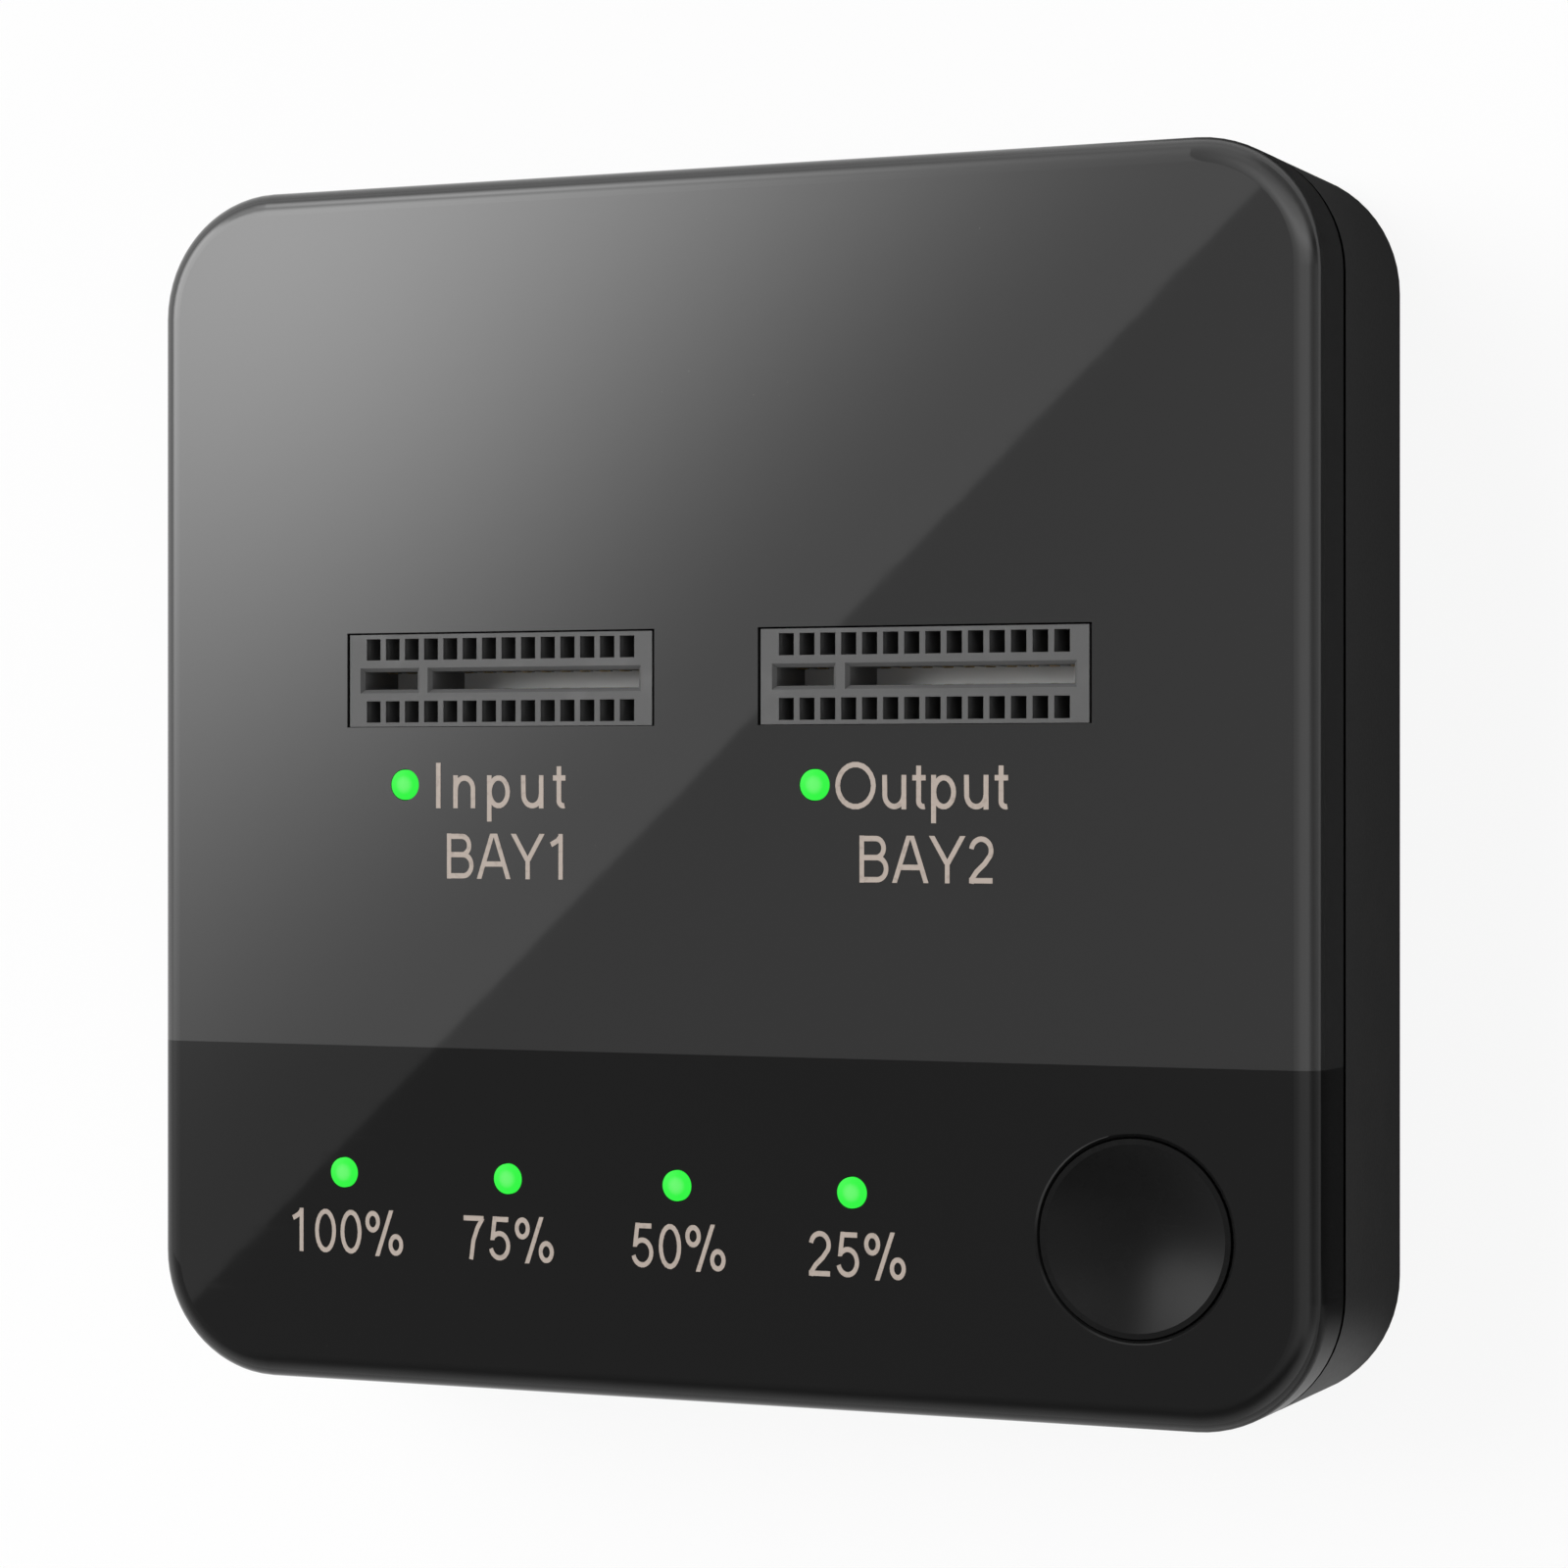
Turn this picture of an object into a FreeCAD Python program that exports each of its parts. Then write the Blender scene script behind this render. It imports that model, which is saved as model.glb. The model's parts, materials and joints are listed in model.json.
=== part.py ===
# Two-bay M.2 drive duplicator dock, lying flat with its drive sockets facing up.
# Millimetres. +Z leaves the socket face, +Y points to the rear edge with the ports, +X to the right.
# The origin is under the middle of the case, on the plane that its feet stand on.

import FreeCAD
import Part
import math
import os

# Case
body_width = 81.8
body_length = 80.0
body_height = 18.9
corner_radius = 8.3
side_wall = 2.0
top_wall = 2.0
floor_wall = 2.0
top_edge_round = 1.7
bottom_edge_bevel = 0.5
cover_depth = 5.3
shadow_groove = 0.5
lip_wall = 0.95
lip_gap = 0.1
lip_cover = 1.5
fine_gap = 0.05
tiny = 1e-6

# Joint between the grey cover and the black control panel
panel_length = 22.6
lap_length = 2.4
lap_thickness = 0.9
lap_end_room = 1.6
joint_rib_height = 2.6
rib_wall = 1.2

# Snap ridges of the covers and their grooves in the lip of the base
snap_length = 7.0
snap_height = 0.3
snap_half_width = 0.35
cover_snap_places = (22.0, -4.0)
panel_snap_from_joint = 5.3

# Feet
foot_proud = 0.8
foot_recess = 0.8
foot_length = 9.0
foot_width = 6.0
foot_gap = 0.15
foot_bevel = 0.4
foot_inset = 8.8

# Case screws and their bosses
screw_from_side = 22.4
screw_inset = 5.6
screw_radius = 1.05
screw_length = 10.0
screw_head_radius = 2.4
screw_head_height = 1.5
screw_head_room = 0.5
screw_head_cover = 0.9
screw_clearance = 0.4
boss_wall = 1.0
pilot_wall = 1.75

# Circuit board
board_room_below = 3.9
board_thickness = 1.6
board_edge_gap = 0.6
board_screw_places = ((0.0, 20.0), (0.0, -14.5))
board_screw_radius = 0.95
board_screw_head_radius = 2.0
board_screw_head_height = 1.2
board_screw_length = 5.0
board_post_radius = 2.4
bay_rib_from_middle = 4.3
bay_rib_length = 12.6

# Drive sockets
socket_spacing = 29.9
socket_line = 6.96
opening_width = 22.6
opening_depth = 6.28
socket_side_gap = 0.19
socket_top_gap = 0.12
socket_bottom_gap = 0.04
socket_recess = 0.05
slot_width = 20.66
slot_depth = 4.85
slot_mouth = 1.68
slot_bevel = 0.25
key_place = 4.43
key_width = 0.62
window_count = 14
window_pitch = 1.435
window_width = 1.04
window_height = 1.42
window_row_place = 2.07
ear_length = 1.4
ear_height = 2.4
peg_radius = 0.7
small_peg_radius = 0.5
peg_place = 8.6
peg_gap = 0.1
collar_wall = 1.2
collar_depth = 2.6

# Socket contacts and solder anchors
contact_width = 0.6
contact_thickness = 0.2
contact_riser_place = 1.75
contact_tail_place = 3.75
contact_bend_below_face = 5.05
contact_tip_below_face = 2.75
contact_end_below_face = 1.95
contact_tip_place = 0.62
contact_side_room = 0.1
port_low_below_face = 4.7
port_high_below_face = 1.6
anchor_thickness = 0.3
anchor_width = 3.2
anchor_foot = 1.3

# Light pipes and their light sources
lens_radius = 1.0
lens_crown = 0.18
lens_gap = 0.05
pipe_flange_side = 3.6
pipe_flange_height = 0.8
pipe_leg_side = 2.0
label_light_line = 0.0
source_light_from_bay = 6.95
target_light_from_bay = 7.35
progress_light_count = 4
progress_light_from_left = 14.41
progress_light_from_right = 30.74
progress_light_line = 14.1
guide_bar_width = 2.6
guide_bar_height = 1.0
stake_side = 1.2
stake_head_side = 2.0
stake_head_height = 0.4
light_chip_length = 1.6
light_chip_width = 0.8
light_block_length = 1.1
light_chip_base = 0.35
light_chip_height = 0.7

# Clone button
button_from_right = 11.9
button_from_front = 11.93
button_hole_gap = 0.1
button_hole_bevel = 0.25
button_radius = 6.2
button_recess = 0.05
button_rim = 0.35
button_dish_depth = 1.1
button_crown_wall = 1.0
button_side_wall = 1.0
button_flange = 1.0
button_flange_height = 0.8
button_top_play = 0.15
button_post_radius = 1.6
button_guide_gap = 0.25
button_guide_wall = 1.0
button_guide_depth = 2.2
button_travel = 0.3
button_stem_gap = 0.15

# Push switch under the button
switch_side = 6.0
switch_base_height = 3.2
switch_floor = 1.2
switch_pocket_radius = 2.4
switch_plate_thickness = 0.3
switch_plate_tab = 1.6
switch_stem_radius = 1.75
switch_stem_height = 5.0
switch_stem_flange = 0.4
switch_stem_gap = 0.15
dome_radius = 2.2
dome_pressed_height = 0.15
dome_thickness = 0.1
switch_leg_width = 0.7
switch_leg_thickness = 0.3
switch_leg_reach = 0.6
switch_leg_foot = 1.2
switch_leg_spacing = 4.5

# USB-C inlet
usb_from_side = 32.9
usb_recess = 0.5
usb_shell_width = 8.94
usb_shell_height = 3.16
usb_shell_length = 7.3
usb_shell_wall = 0.3
usb_tongue_width = 6.69
usb_tongue_thickness = 0.7
usb_tongue_setback = 0.8
usb_block_length = 2.2
usb_hole_gap = 0.3
usb_contact_count = 12
usb_contact_pitch = 0.5
usb_contact_width = 0.25
usb_contact_length = 3.2
usb_contact_height = 0.05
usb_leg_width = 1.0
usb_leg_length = 2.2
usb_leg_places = (3.4, 6.2)

# 5 V barrel jack
jack_from_side = 32.9
jack_recess = 0.7
jack_width = 6.2
jack_height = 5.0
jack_length = 9.6
jack_wall_gap = 0.4
jack_nose_radius = 2.35
jack_bore_radius = 1.85
jack_bore_depth = 7.6
jack_hole_gap = 0.25
jack_pin_radius = 0.65
jack_shank_radius = 0.4
jack_pin_short_of_mouth = 1.0
jack_pin_tip = 0.35
jack_spring_width = 1.6
jack_spring_thickness = 0.25
jack_spring_touch = 0.12
jack_spring_touch_length = 1.0
jack_spring_end_room = 0.6
jack_window_end_wall = 0.9

# Chips and other parts soldered to the board
bridge_side = 9.0
bridge_height = 0.9
bridge_place = (0.0, -5.4)
bridge_pad_side = 5.4
flash_length = 5.0
flash_width = 4.0
flash_height = 1.5
flash_place = (14.5, -9.5)
flash_lead_pitch = 1.27
flash_side_lead_count = 4
chip_lift = 0.1
chip_bevel = 0.1
chip_lead_width = 0.4
chip_lead_thickness = 0.2
chip_lead_reach = 0.5
chip_lead_foot = 0.5
crystal_length = 3.2
crystal_width = 2.5
crystal_height = 0.8
crystal_cut = 0.3
crystal_place = (-9.5, -5.4)
inductor_side = 4.2
inductor_height = 2.2
inductor_cut = 0.8
inductor_line = 24.0
regulator_length = 2.9
regulator_width = 1.6
regulator_height = 1.1
regulator_lead_pitch = 0.95
regulator_side_lead_count = 3
regulator_line = 18.0
supply_from_side = 14.4
capacitor_radius = 2.5
capacitor_height = 5.4
capacitor_plinth_side = 5.3
capacitor_plinth_height = 0.9
capacitor_plinth_cut = 1.2
capacitor_bevel = 0.2
capacitor_place = (9.0, 18.6)
chip_part_length = 1.6
chip_part_width = 0.8
chip_part_pitch = 2.4
bay_part_pitch = 4.8
chip_capacitor_height = 0.8
chip_resistor_height = 0.5

# Heights and places that follow from the sizes above
base_low = foot_proud
face = base_low + body_height
skirt_low = face - cover_depth + shadow_groove / 2
rim = skirt_low - shadow_groove
lip_top = skirt_low + lip_cover
ceiling = face - top_wall
floor_top = base_low + floor_wall
board_low = floor_top + board_room_below
board_top = board_low + board_thickness
half_width = body_width / 2
half_length = body_length / 2
skirt_wall = side_wall - lip_wall - lip_gap
panel_line = panel_length - half_length
screw_seat = base_low + screw_head_cover + screw_head_height
screw_line = half_length - screw_inset
boss_radius = screw_head_radius + screw_head_room + boss_wall
cover_boss_radius = screw_radius + fine_gap + pilot_wall
socket_face = face - socket_recess
button_x = half_width - button_from_right
usb_place = half_width - usb_from_side
jack_place = jack_from_side - half_width
button_y = button_from_front - half_length
jack_axis_height = board_top + jack_height / 2
usb_axis_height = board_top + usb_shell_height / 2
light_top = board_top + light_chip_height
pipe_foot_low = light_top + fine_gap
stem_top = board_top + switch_stem_height
post_low = stem_top + button_stem_gap
dome_crown = dome_pressed_height + button_travel
progress_row_length = body_width - progress_light_from_left - progress_light_from_right
progress_light_pitch = progress_row_length / (progress_light_count - 1)


def at(x, y, z=0.0):
    return FreeCAD.Vector(x, y, z)


def box(x_low, x_high, y_low, y_high, z_low, z_high):
    size = (x_high - x_low, y_high - y_low, z_high - z_low)
    return Part.makeBox(*size, at(x_low, y_low, z_low))


def middle_box(x, y, width, length, z_low, z_high):
    return box(x - width / 2, x + width / 2, y - length / 2, y + length / 2, z_low, z_high)


def rod(x, y, radius, z_low, z_high):
    return Part.makeCylinder(radius, z_high - z_low, at(x, y, z_low))


def rod_along_y(x, z, radius, y_low, y_high):
    return Part.makeCylinder(radius, y_high - y_low, at(x, y_low, z), at(0, 1, 0))


def ball(radius, centre):
    # its poles lie along Y, away from the shallow caps that are used of it
    return Part.makeSphere(radius, centre, at(0, 1, 0))


def join(shapes):
    shapes = list(shapes)
    return shapes[0].multiFuse(shapes[1:]).removeSplitter()


def rim_point(x, y, radius, degrees):
    angle = math.radians(degrees)
    return at(x + radius * math.cos(angle), y + radius * math.sin(angle))


def rounded_outline(width, length, radius):
    # rectangle with round corners about the origin, in the XY plane
    x = width / 2 - radius
    y = length / 2 - radius
    arcs = []
    for quarter, (cx, cy) in enumerate(((x, y), (-x, y), (-x, -y), (x, -y))):
        arcs.append([rim_point(cx, cy, radius, 90 * quarter + turn) for turn in (0, 45, 90)])
    edges = []
    for arc, following in zip(arcs, arcs[1:] + arcs[:1]):
        edges.append(Part.Arc(*arc).toShape())
        if arc[2].distanceToPoint(following[0]) > tiny:
            edges.append(Part.LineSegment(arc[2], following[0]).toShape())
    return Part.Wire(edges)


def rounded_plate(width, length, radius, z_low, z_high):
    flat = Part.Face(rounded_outline(width, length, radius))
    flat.translate(at(0, 0, z_low))
    return flat.extrude(at(0, 0, z_high - z_low))


def case_plate(inset, z_low, z_high):
    width = body_width - 2 * inset
    length = body_length - 2 * inset
    return rounded_plate(width, length, corner_radius - inset, z_low, z_high)


def stadium_along_y(x, z, width, height, y_low, y_high):
    # flat bar with half-round sides, as a plug mouth has
    flat = Part.Face(rounded_outline(width, height, height / 2))
    solid = flat.extrude(at(0, 0, y_high - y_low))
    solid.rotate(at(0, 0, 0), at(1, 0, 0), -90)
    solid.translate(at(x, y_low, z))
    return solid


def edges_at_height(shape, height):
    return [e for e in shape.Edges if all(abs(v.Z - height) < tiny for v in e.Vertexes)]


def upright_edges(shape):
    return [e for e in shape.Edges if abs(e.Vertexes[0].Z - e.Vertexes[-1].Z) > tiny]


def turned(corners):
    # corners are (radius, height) points of a profile that is turned about the Z axis
    ring = [at(radius, 0, height) for radius, height in corners]
    return Part.Face(Part.makePolygon(ring + [ring[0]])).revolve(at(0, 0, 0), at(0, 0, 1), 360)


def strip_outline(path, thickness):
    # both sides of a strip of even thickness along path, a list of (u, v) points, with mitred bends
    directions = []
    for (ua, va), (ub, vb) in zip(path, path[1:]):
        run = math.hypot(ub - ua, vb - va)
        directions.append(((ub - ua) / run, (vb - va) / run))
    before = [directions[0]] + directions
    after = directions + [directions[-1]]
    left = []
    right = []
    for (u, v), (au, av), (bu, bv) in zip(path, before, after):
        scale = thickness / (2 + 2 * (au * bu + av * bv))
        left.append((u - (av + bv) * scale, v + (au + bu) * scale))
        right.append((u + (av + bv) * scale, v - (au + bu) * scale))
    return left + right[::-1]


def upright_strip(path, thickness, width):
    # strip bent in the YZ plane, and as wide as width along X about the origin
    ring = [at(-width / 2, y, z) for y, z in strip_outline(path, thickness)]
    return Part.Face(Part.makePolygon(ring + [ring[0]])).extrude(at(width, 0, 0))


def lying_strip(path, thickness, width, z):
    # strip bent in the XY plane, and as wide as width along Z about the height z
    ring = [at(x, y, z - width / 2) for x, y in strip_outline(path, thickness)]
    return Part.Face(Part.makePolygon(ring + [ring[0]])).extrude(at(0, 0, width))


def moved(shape, x, y, z=0.0):
    copy = shape.copy()
    copy.translate(at(x, y, z))
    return copy


def screw_places():
    x = half_width - screw_from_side
    return [(x, screw_line), (-x, screw_line), (-x, -screw_line), (x, -screw_line)]


def socket_places():
    x = socket_spacing / 2
    return [(-x, socket_line), (x, socket_line)]


def label_light_places():
    # to the left of each bay's label
    source, target = socket_places()
    return [
        (source[0] - source_light_from_bay, label_light_line),
        (target[0] - target_light_from_bay, label_light_line),
    ]


def progress_light_places():
    first = progress_light_from_left - half_width
    y = progress_light_line - half_length
    return [(first + index * progress_light_pitch, y) for index in range(progress_light_count)]


def cover_blank():
    # both upper mouldings as one skin, before the joint between them is cut
    skin = case_plate(0, skirt_low, face)
    skin = skin.makeFillet(top_edge_round, edges_at_height(skin, face))
    hollow = case_plate(side_wall, skirt_low, ceiling)
    rebate = case_plate(skirt_wall, skirt_low, lip_top)
    return skin.cut([hollow, rebate])


def snap_ridges(places, extra):
    # three-sided ridges on the inside of the skirt, one at each side for each place along Y
    depth = lip_gap + snap_height + extra
    half = snap_half_width + extra
    middle = (skirt_low + lip_top) / 2
    ridges = []
    for side in (-1, 1):
        wall_x = side * (half_width - skirt_wall)
        for y in places:
            corners = [
                at(wall_x, y - snap_length / 2 - extra, middle - half),
                at(wall_x - side * depth, y - snap_length / 2 - extra, middle),
                at(wall_x, y - snap_length / 2 - extra, middle + half),
            ]
            flat = Part.Face(Part.makePolygon(corners + [corners[0]]))
            ridges.append(flat.extrude(at(0, snap_length + 2 * extra, 0)))
    return ridges


def panel_snap_places():
    return (panel_line - panel_snap_from_joint,)


def cover_boss(x, y):
    return rod(x, y, cover_boss_radius, board_top, ceiling + fine_gap)


def pilot_hole(x, y):
    return rod(x, y, screw_radius + fine_gap, board_top, screw_seat + screw_length + screw_head_room)


def light_hole(x, y):
    return rod(x, y, lens_radius + lens_gap, ceiling, face)


def front_cover():
    blank = cover_blank()
    skin = blank.common(box(-half_width, half_width, panel_line, half_length, skirt_low, face))
    inside = half_width - side_wall
    lap = box(
        lap_end_room - inside,
        inside - lap_end_room,
        panel_line - lap_length,
        panel_line + fine_gap,
        ceiling,
        ceiling + lap_thickness,
    )
    joint_rib = box(
        lap_end_room - inside,
        inside - lap_end_room,
        panel_line,
        panel_line + rib_wall,
        ceiling - joint_rib_height,
        ceiling + fine_gap,
    )
    added = [lap, joint_rib] + snap_ridges(cover_snap_places, 0)
    openings = []
    for x, y in socket_places():
        collar_width = opening_width + 2 * collar_wall
        collar_length = opening_depth + 2 * collar_wall
        added.append(
            middle_box(x, y, collar_width, collar_length, ceiling - collar_depth, ceiling + fine_gap)
        )
        openings.append(
            middle_box(x, y, opening_width, opening_depth, ceiling - collar_depth, face)
        )
    rear_screws = [place for place in screw_places() if place[1] > panel_line]
    for x, y in rear_screws:
        added.append(cover_boss(x, y))
        openings.append(pilot_hole(x, y))
    openings += [light_hole(x, y) for x, y in label_light_places()]
    return join([skin] + added).cut(openings)


def stake_places():
    # between the outer pairs of progress lights
    lights = progress_light_places()
    pairs = (lights[:2], lights[-2:])
    return [((a[0] + b[0]) / 2, a[1]) for a, b in pairs]


def button_hole():
    # bevelled at the face, where its edge catches the light round the cap
    radius = button_radius + button_hole_gap
    hole = turned(
        [
            (0, ceiling),
            (radius, ceiling),
            (radius, face - button_hole_bevel),
            (radius + button_hole_bevel, face),
            (0, face),
        ]
    )
    return moved(hole, button_x, button_y)


def control_panel():
    blank = cover_blank()
    skin = blank.common(box(-half_width, half_width, -half_length, panel_line, skirt_low, face))
    inside = half_width - side_wall
    lap_room = box(
        lap_end_room - inside - lip_gap,
        inside - lap_end_room + lip_gap,
        panel_line - lap_length - lip_gap,
        panel_line,
        ceiling,
        ceiling + lap_thickness + fine_gap,
    )
    guide_inner = button_radius + button_flange + button_guide_gap
    guide_low = ceiling - button_guide_depth
    guide = rod(button_x, button_y, guide_inner + button_guide_wall, guide_low, ceiling + fine_gap)
    added = snap_ridges(panel_snap_places(), 0) + [guide]
    openings = [
        lap_room,
        rod(button_x, button_y, guide_inner, guide_low, ceiling),
        button_hole(),
    ]
    front_screws = [place for place in screw_places() if place[1] < panel_line]
    for x, y in front_screws:
        added.append(cover_boss(x, y))
        openings.append(pilot_hole(x, y))
    openings += [light_hole(x, y) for x, y in progress_light_places()]
    bar_low = ceiling - guide_bar_height
    head_low = bar_low - stake_head_height
    for x, y in stake_places():
        added.append(middle_box(x, y, stake_side, stake_side, head_low, ceiling + fine_gap))
        added.append(middle_box(x, y, stake_head_side, stake_head_side, head_low, bar_low))
    return join([skin] + added).cut(openings)


def base_shell():
    tray = case_plate(0, base_low, rim)
    tray = tray.makeChamfer(bottom_edge_bevel, edges_at_height(tray, base_low))
    lip = case_plate(side_wall - lip_wall, floor_top, lip_top)
    tray = join([tray, lip]).cut(case_plate(side_wall, floor_top, lip_top))
    added = []
    holes = snap_ridges(cover_snap_places + panel_snap_places(), fine_gap)
    for x, y in screw_places():
        added.append(rod(x, y, boss_radius, floor_top - fine_gap, board_low))
        holes.append(rod(x, y, screw_head_radius + screw_head_room, base_low, screw_seat))
        holes.append(rod(x, y, screw_radius + screw_clearance, screw_seat, board_low))
    for x, y in board_screw_places:
        added.append(rod(x, y, board_post_radius, floor_top - fine_gap, board_low))
        holes.append(
            rod(x, y, board_screw_radius + fine_gap, board_top - board_screw_length - fine_gap, board_low)
        )
    for x, y in socket_places():
        for side in (-1, 1):
            rib_x = x + side * bay_rib_from_middle
            added.append(
                middle_box(rib_x, y, rib_wall, bay_rib_length, floor_top - fine_gap, board_low)
            )
    recess_length = foot_length + 2 * foot_gap
    recess_width = foot_width + 2 * foot_gap
    for x, y in foot_places():
        holes.append(middle_box(x, y, recess_length, recess_width, base_low, base_low + foot_recess))
    wall_low = half_length - side_wall - fine_gap
    holes.append(
        stadium_along_y(
            usb_place,
            usb_axis_height,
            usb_shell_width + 2 * usb_hole_gap,
            usb_shell_height + 2 * usb_hole_gap,
            wall_low,
            half_length,
        )
    )
    holes.append(
        rod_along_y(
            jack_place, jack_axis_height, jack_nose_radius + jack_hole_gap, wall_low, half_length
        )
    )
    return join([tray] + added).cut(holes)


def foot_places():
    x = half_width - foot_inset
    y = half_length - foot_inset
    return [(x, y), (-x, y), (-x, -y), (x, -y)]


def foot(x, y):
    # moulded pad with its lower edges bevelled
    pad = middle_box(x, y, foot_length, foot_width, 0, base_low + foot_recess)
    return pad.makeChamfer(foot_bevel, edges_at_height(pad, 0))


def headed_screw(radius, head_radius, head_height, length):
    # seat at the origin, shank upwards and the head below
    return join([rod(0, 0, head_radius, -head_height, 0), rod(0, 0, radius, 0, length)])


def case_screws():
    # from below, through the base and the board into the covers
    screw = headed_screw(screw_radius, screw_head_radius, screw_head_height, screw_length)
    return Part.makeCompound([moved(screw, x, y, screw_seat) for x, y in screw_places()])


def board_screws():
    # from above, through the board into the posts of the base
    screw = headed_screw(
        board_screw_radius, board_screw_head_radius, board_screw_head_height, board_screw_length
    )
    screw.rotate(at(0, 0, 0), at(1, 0, 0), 180)
    return Part.makeCompound([moved(screw, x, y, board_top) for x, y in board_screw_places])


def main_board():
    board = case_plate(side_wall + board_edge_gap, board_low, board_top)
    holes = [rod(x, y, screw_radius + screw_clearance, board_low, board_top) for x, y in screw_places()]
    for x, y in board_screw_places:
        holes.append(rod(x, y, board_screw_radius + fine_gap, board_low, board_top))
    for x, y in socket_places():
        holes.append(rod(x - peg_place, y, peg_radius + peg_gap, board_low, board_top))
        holes.append(rod(x + peg_place, y, small_peg_radius + peg_gap, board_low, board_top))
    for x, y in usb_leg_middles():
        leg_slot = (usb_shell_wall + 2 * peg_gap, usb_leg_width + 2 * peg_gap)
        holes.append(middle_box(x, y, *leg_slot, board_low, board_top))
    return board.cut(holes)


def socket_section():
    # width and depth of a socket moulding, and how far its middle lies below the opening's
    width = opening_width - 2 * socket_side_gap
    depth = opening_depth - socket_top_gap - socket_bottom_gap
    drop = (socket_top_gap - socket_bottom_gap) / 2
    return width, depth, drop


def window_places():
    # (x, row side) of every contact window, about the middle of a socket
    first = -window_pitch * (window_count - 1) / 2
    return [(first + index * window_pitch, side) for side in (-1, 1) for index in range(window_count)]


def bevelled_slot(x_low, x_high):
    # card slot with a sloped lead-in all round its mouth
    half_mouth = slot_mouth / 2
    half_slot = half_mouth - slot_bevel
    slot_low = socket_face - slot_depth
    bevel_low = socket_face - slot_bevel
    straight = box(x_low + slot_bevel, x_high - slot_bevel, -half_slot, half_slot, slot_low, socket_face)
    wires = []
    for inset, z in ((slot_bevel, bevel_low), (0, socket_face)):
        half = half_mouth - inset
        corners = [
            at(x_low + inset, -half, z),
            at(x_high - inset, -half, z),
            at(x_high - inset, half, z),
            at(x_low + inset, half, z),
        ]
        wires.append(Part.makePolygon(corners + [corners[0]]))
    return join([straight, Part.makeLoft(wires, True, True)])


def socket_housing(x, y):
    # keyed vertical socket: bevelled slot in two stretches, two rows of contact cavities,
    # a port from each cavity into the slot, and a notch under each outer wall for the contact's tail
    width, depth, drop = socket_section()
    block = middle_box(0, 0, width, depth, board_top, socket_face)
    ears = middle_box(0, 0, width + 2 * ear_length, depth, board_top, board_top + ear_height)
    pegs = [
        rod(-peg_place, 0, peg_radius, board_low, board_top + fine_gap),
        rod(peg_place, 0, small_peg_radius, board_low, board_top + fine_gap),
    ]
    slot_left = -slot_width / 2
    key_left = slot_left + key_place
    cuts = [
        bevelled_slot(slot_left, key_left),
        bevelled_slot(key_left + key_width, slot_width / 2),
    ]
    half_slot = slot_mouth / 2 - slot_bevel
    cavity_inner = window_row_place - window_height / 2
    port_width = contact_width + 2 * contact_side_room
    notch_top = board_top + contact_thickness + contact_side_room
    for wx, side in window_places():
        cavity_y = side * window_row_place
        cuts.append(middle_box(wx, cavity_y, window_width, window_height, board_top, socket_face))
        port_middle = side * (half_slot + cavity_inner) / 2
        port_length = cavity_inner - half_slot + 2 * fine_gap
        if not in_key(wx, key_left):
            port_low = socket_face - port_low_below_face
            port_high = socket_face - port_high_below_face
            cuts.append(middle_box(wx, port_middle, port_width, port_length, port_low, port_high))
        wall_length = depth / 2 - window_row_place
        wall_middle = side * (depth / 2 - wall_length / 2)
        cuts.append(middle_box(wx, wall_middle, port_width, wall_length, board_top, notch_top))
    for side in (-1, 1):
        slit_x = side * (width / 2 + ear_length - anchor_thickness / 2)
        cuts.append(
            middle_box(
                slit_x,
                0,
                anchor_thickness + 2 * fine_gap,
                anchor_width + 2 * fine_gap,
                board_top,
                board_top + ear_height,
            )
        )
    housing = join([block, ears] + pegs).cut(cuts)
    return moved(housing, x, y - drop)


def in_key(window_x, key_left):
    # the key between the two stretches of the slot has no contact beside it
    reach = contact_width / 2 + contact_side_room + slot_bevel
    return key_left - reach < window_x < key_left + key_width + reach


def socket_contacts(x, y):
    drop = socket_section()[2]
    key_left = key_place - slot_width / 2
    foot_height = board_top + contact_thickness / 2
    path = [
        (contact_tail_place, foot_height),
        (contact_riser_place, foot_height),
        (contact_riser_place, socket_face - contact_bend_below_face),
        (contact_tip_place, socket_face - contact_tip_below_face),
        (contact_tip_place + contact_thickness, socket_face - contact_end_below_face),
    ]
    one = upright_strip(path, contact_thickness, contact_width)
    contacts = []
    for wx, side in window_places():
        if in_key(wx, key_left):
            continue
        contact = one.copy()
        if side < 0:
            contact.rotate(at(0, 0, 0), at(0, 0, 1), 180)
        contacts.append(moved(contact, x + wx, y - drop))
    return Part.makeCompound(contacts)


def socket_anchors(x, y):
    # bent tabs in the ears of a socket, soldered down to the board
    width, depth, drop = socket_section()
    outer = width / 2 + ear_length
    anchors = []
    for side in (-1, 1):
        middle = outer - anchor_thickness / 2
        path = [
            (outer + anchor_foot, board_top + anchor_thickness / 2),
            (middle, board_top + anchor_thickness / 2),
            (middle, board_top + ear_height),
        ]
        tab = upright_strip(path, anchor_thickness, anchor_width)
        tab.rotate(at(0, 0, 0), at(0, 0, 1), -90 * side)
        anchors.append(moved(tab, x, y - drop))
    return Part.makeCompound(anchors)


def light_rod(x, y):
    # round end of a light pipe, through the wall and with a crowned lens just proud of the face
    crown_radius = (lens_radius ** 2 + lens_crown ** 2) / (2 * lens_crown)
    crown = ball(crown_radius, at(x, y, face + lens_crown - crown_radius))
    return rod(x, y, lens_radius, ceiling - fine_gap, face + lens_crown).common(crown)


def light_leg(x, y, top):
    # square leg of a light pipe, down to just above the chip that feeds it
    return middle_box(x, y, pipe_leg_side, pipe_leg_side, pipe_foot_low, top)


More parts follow.
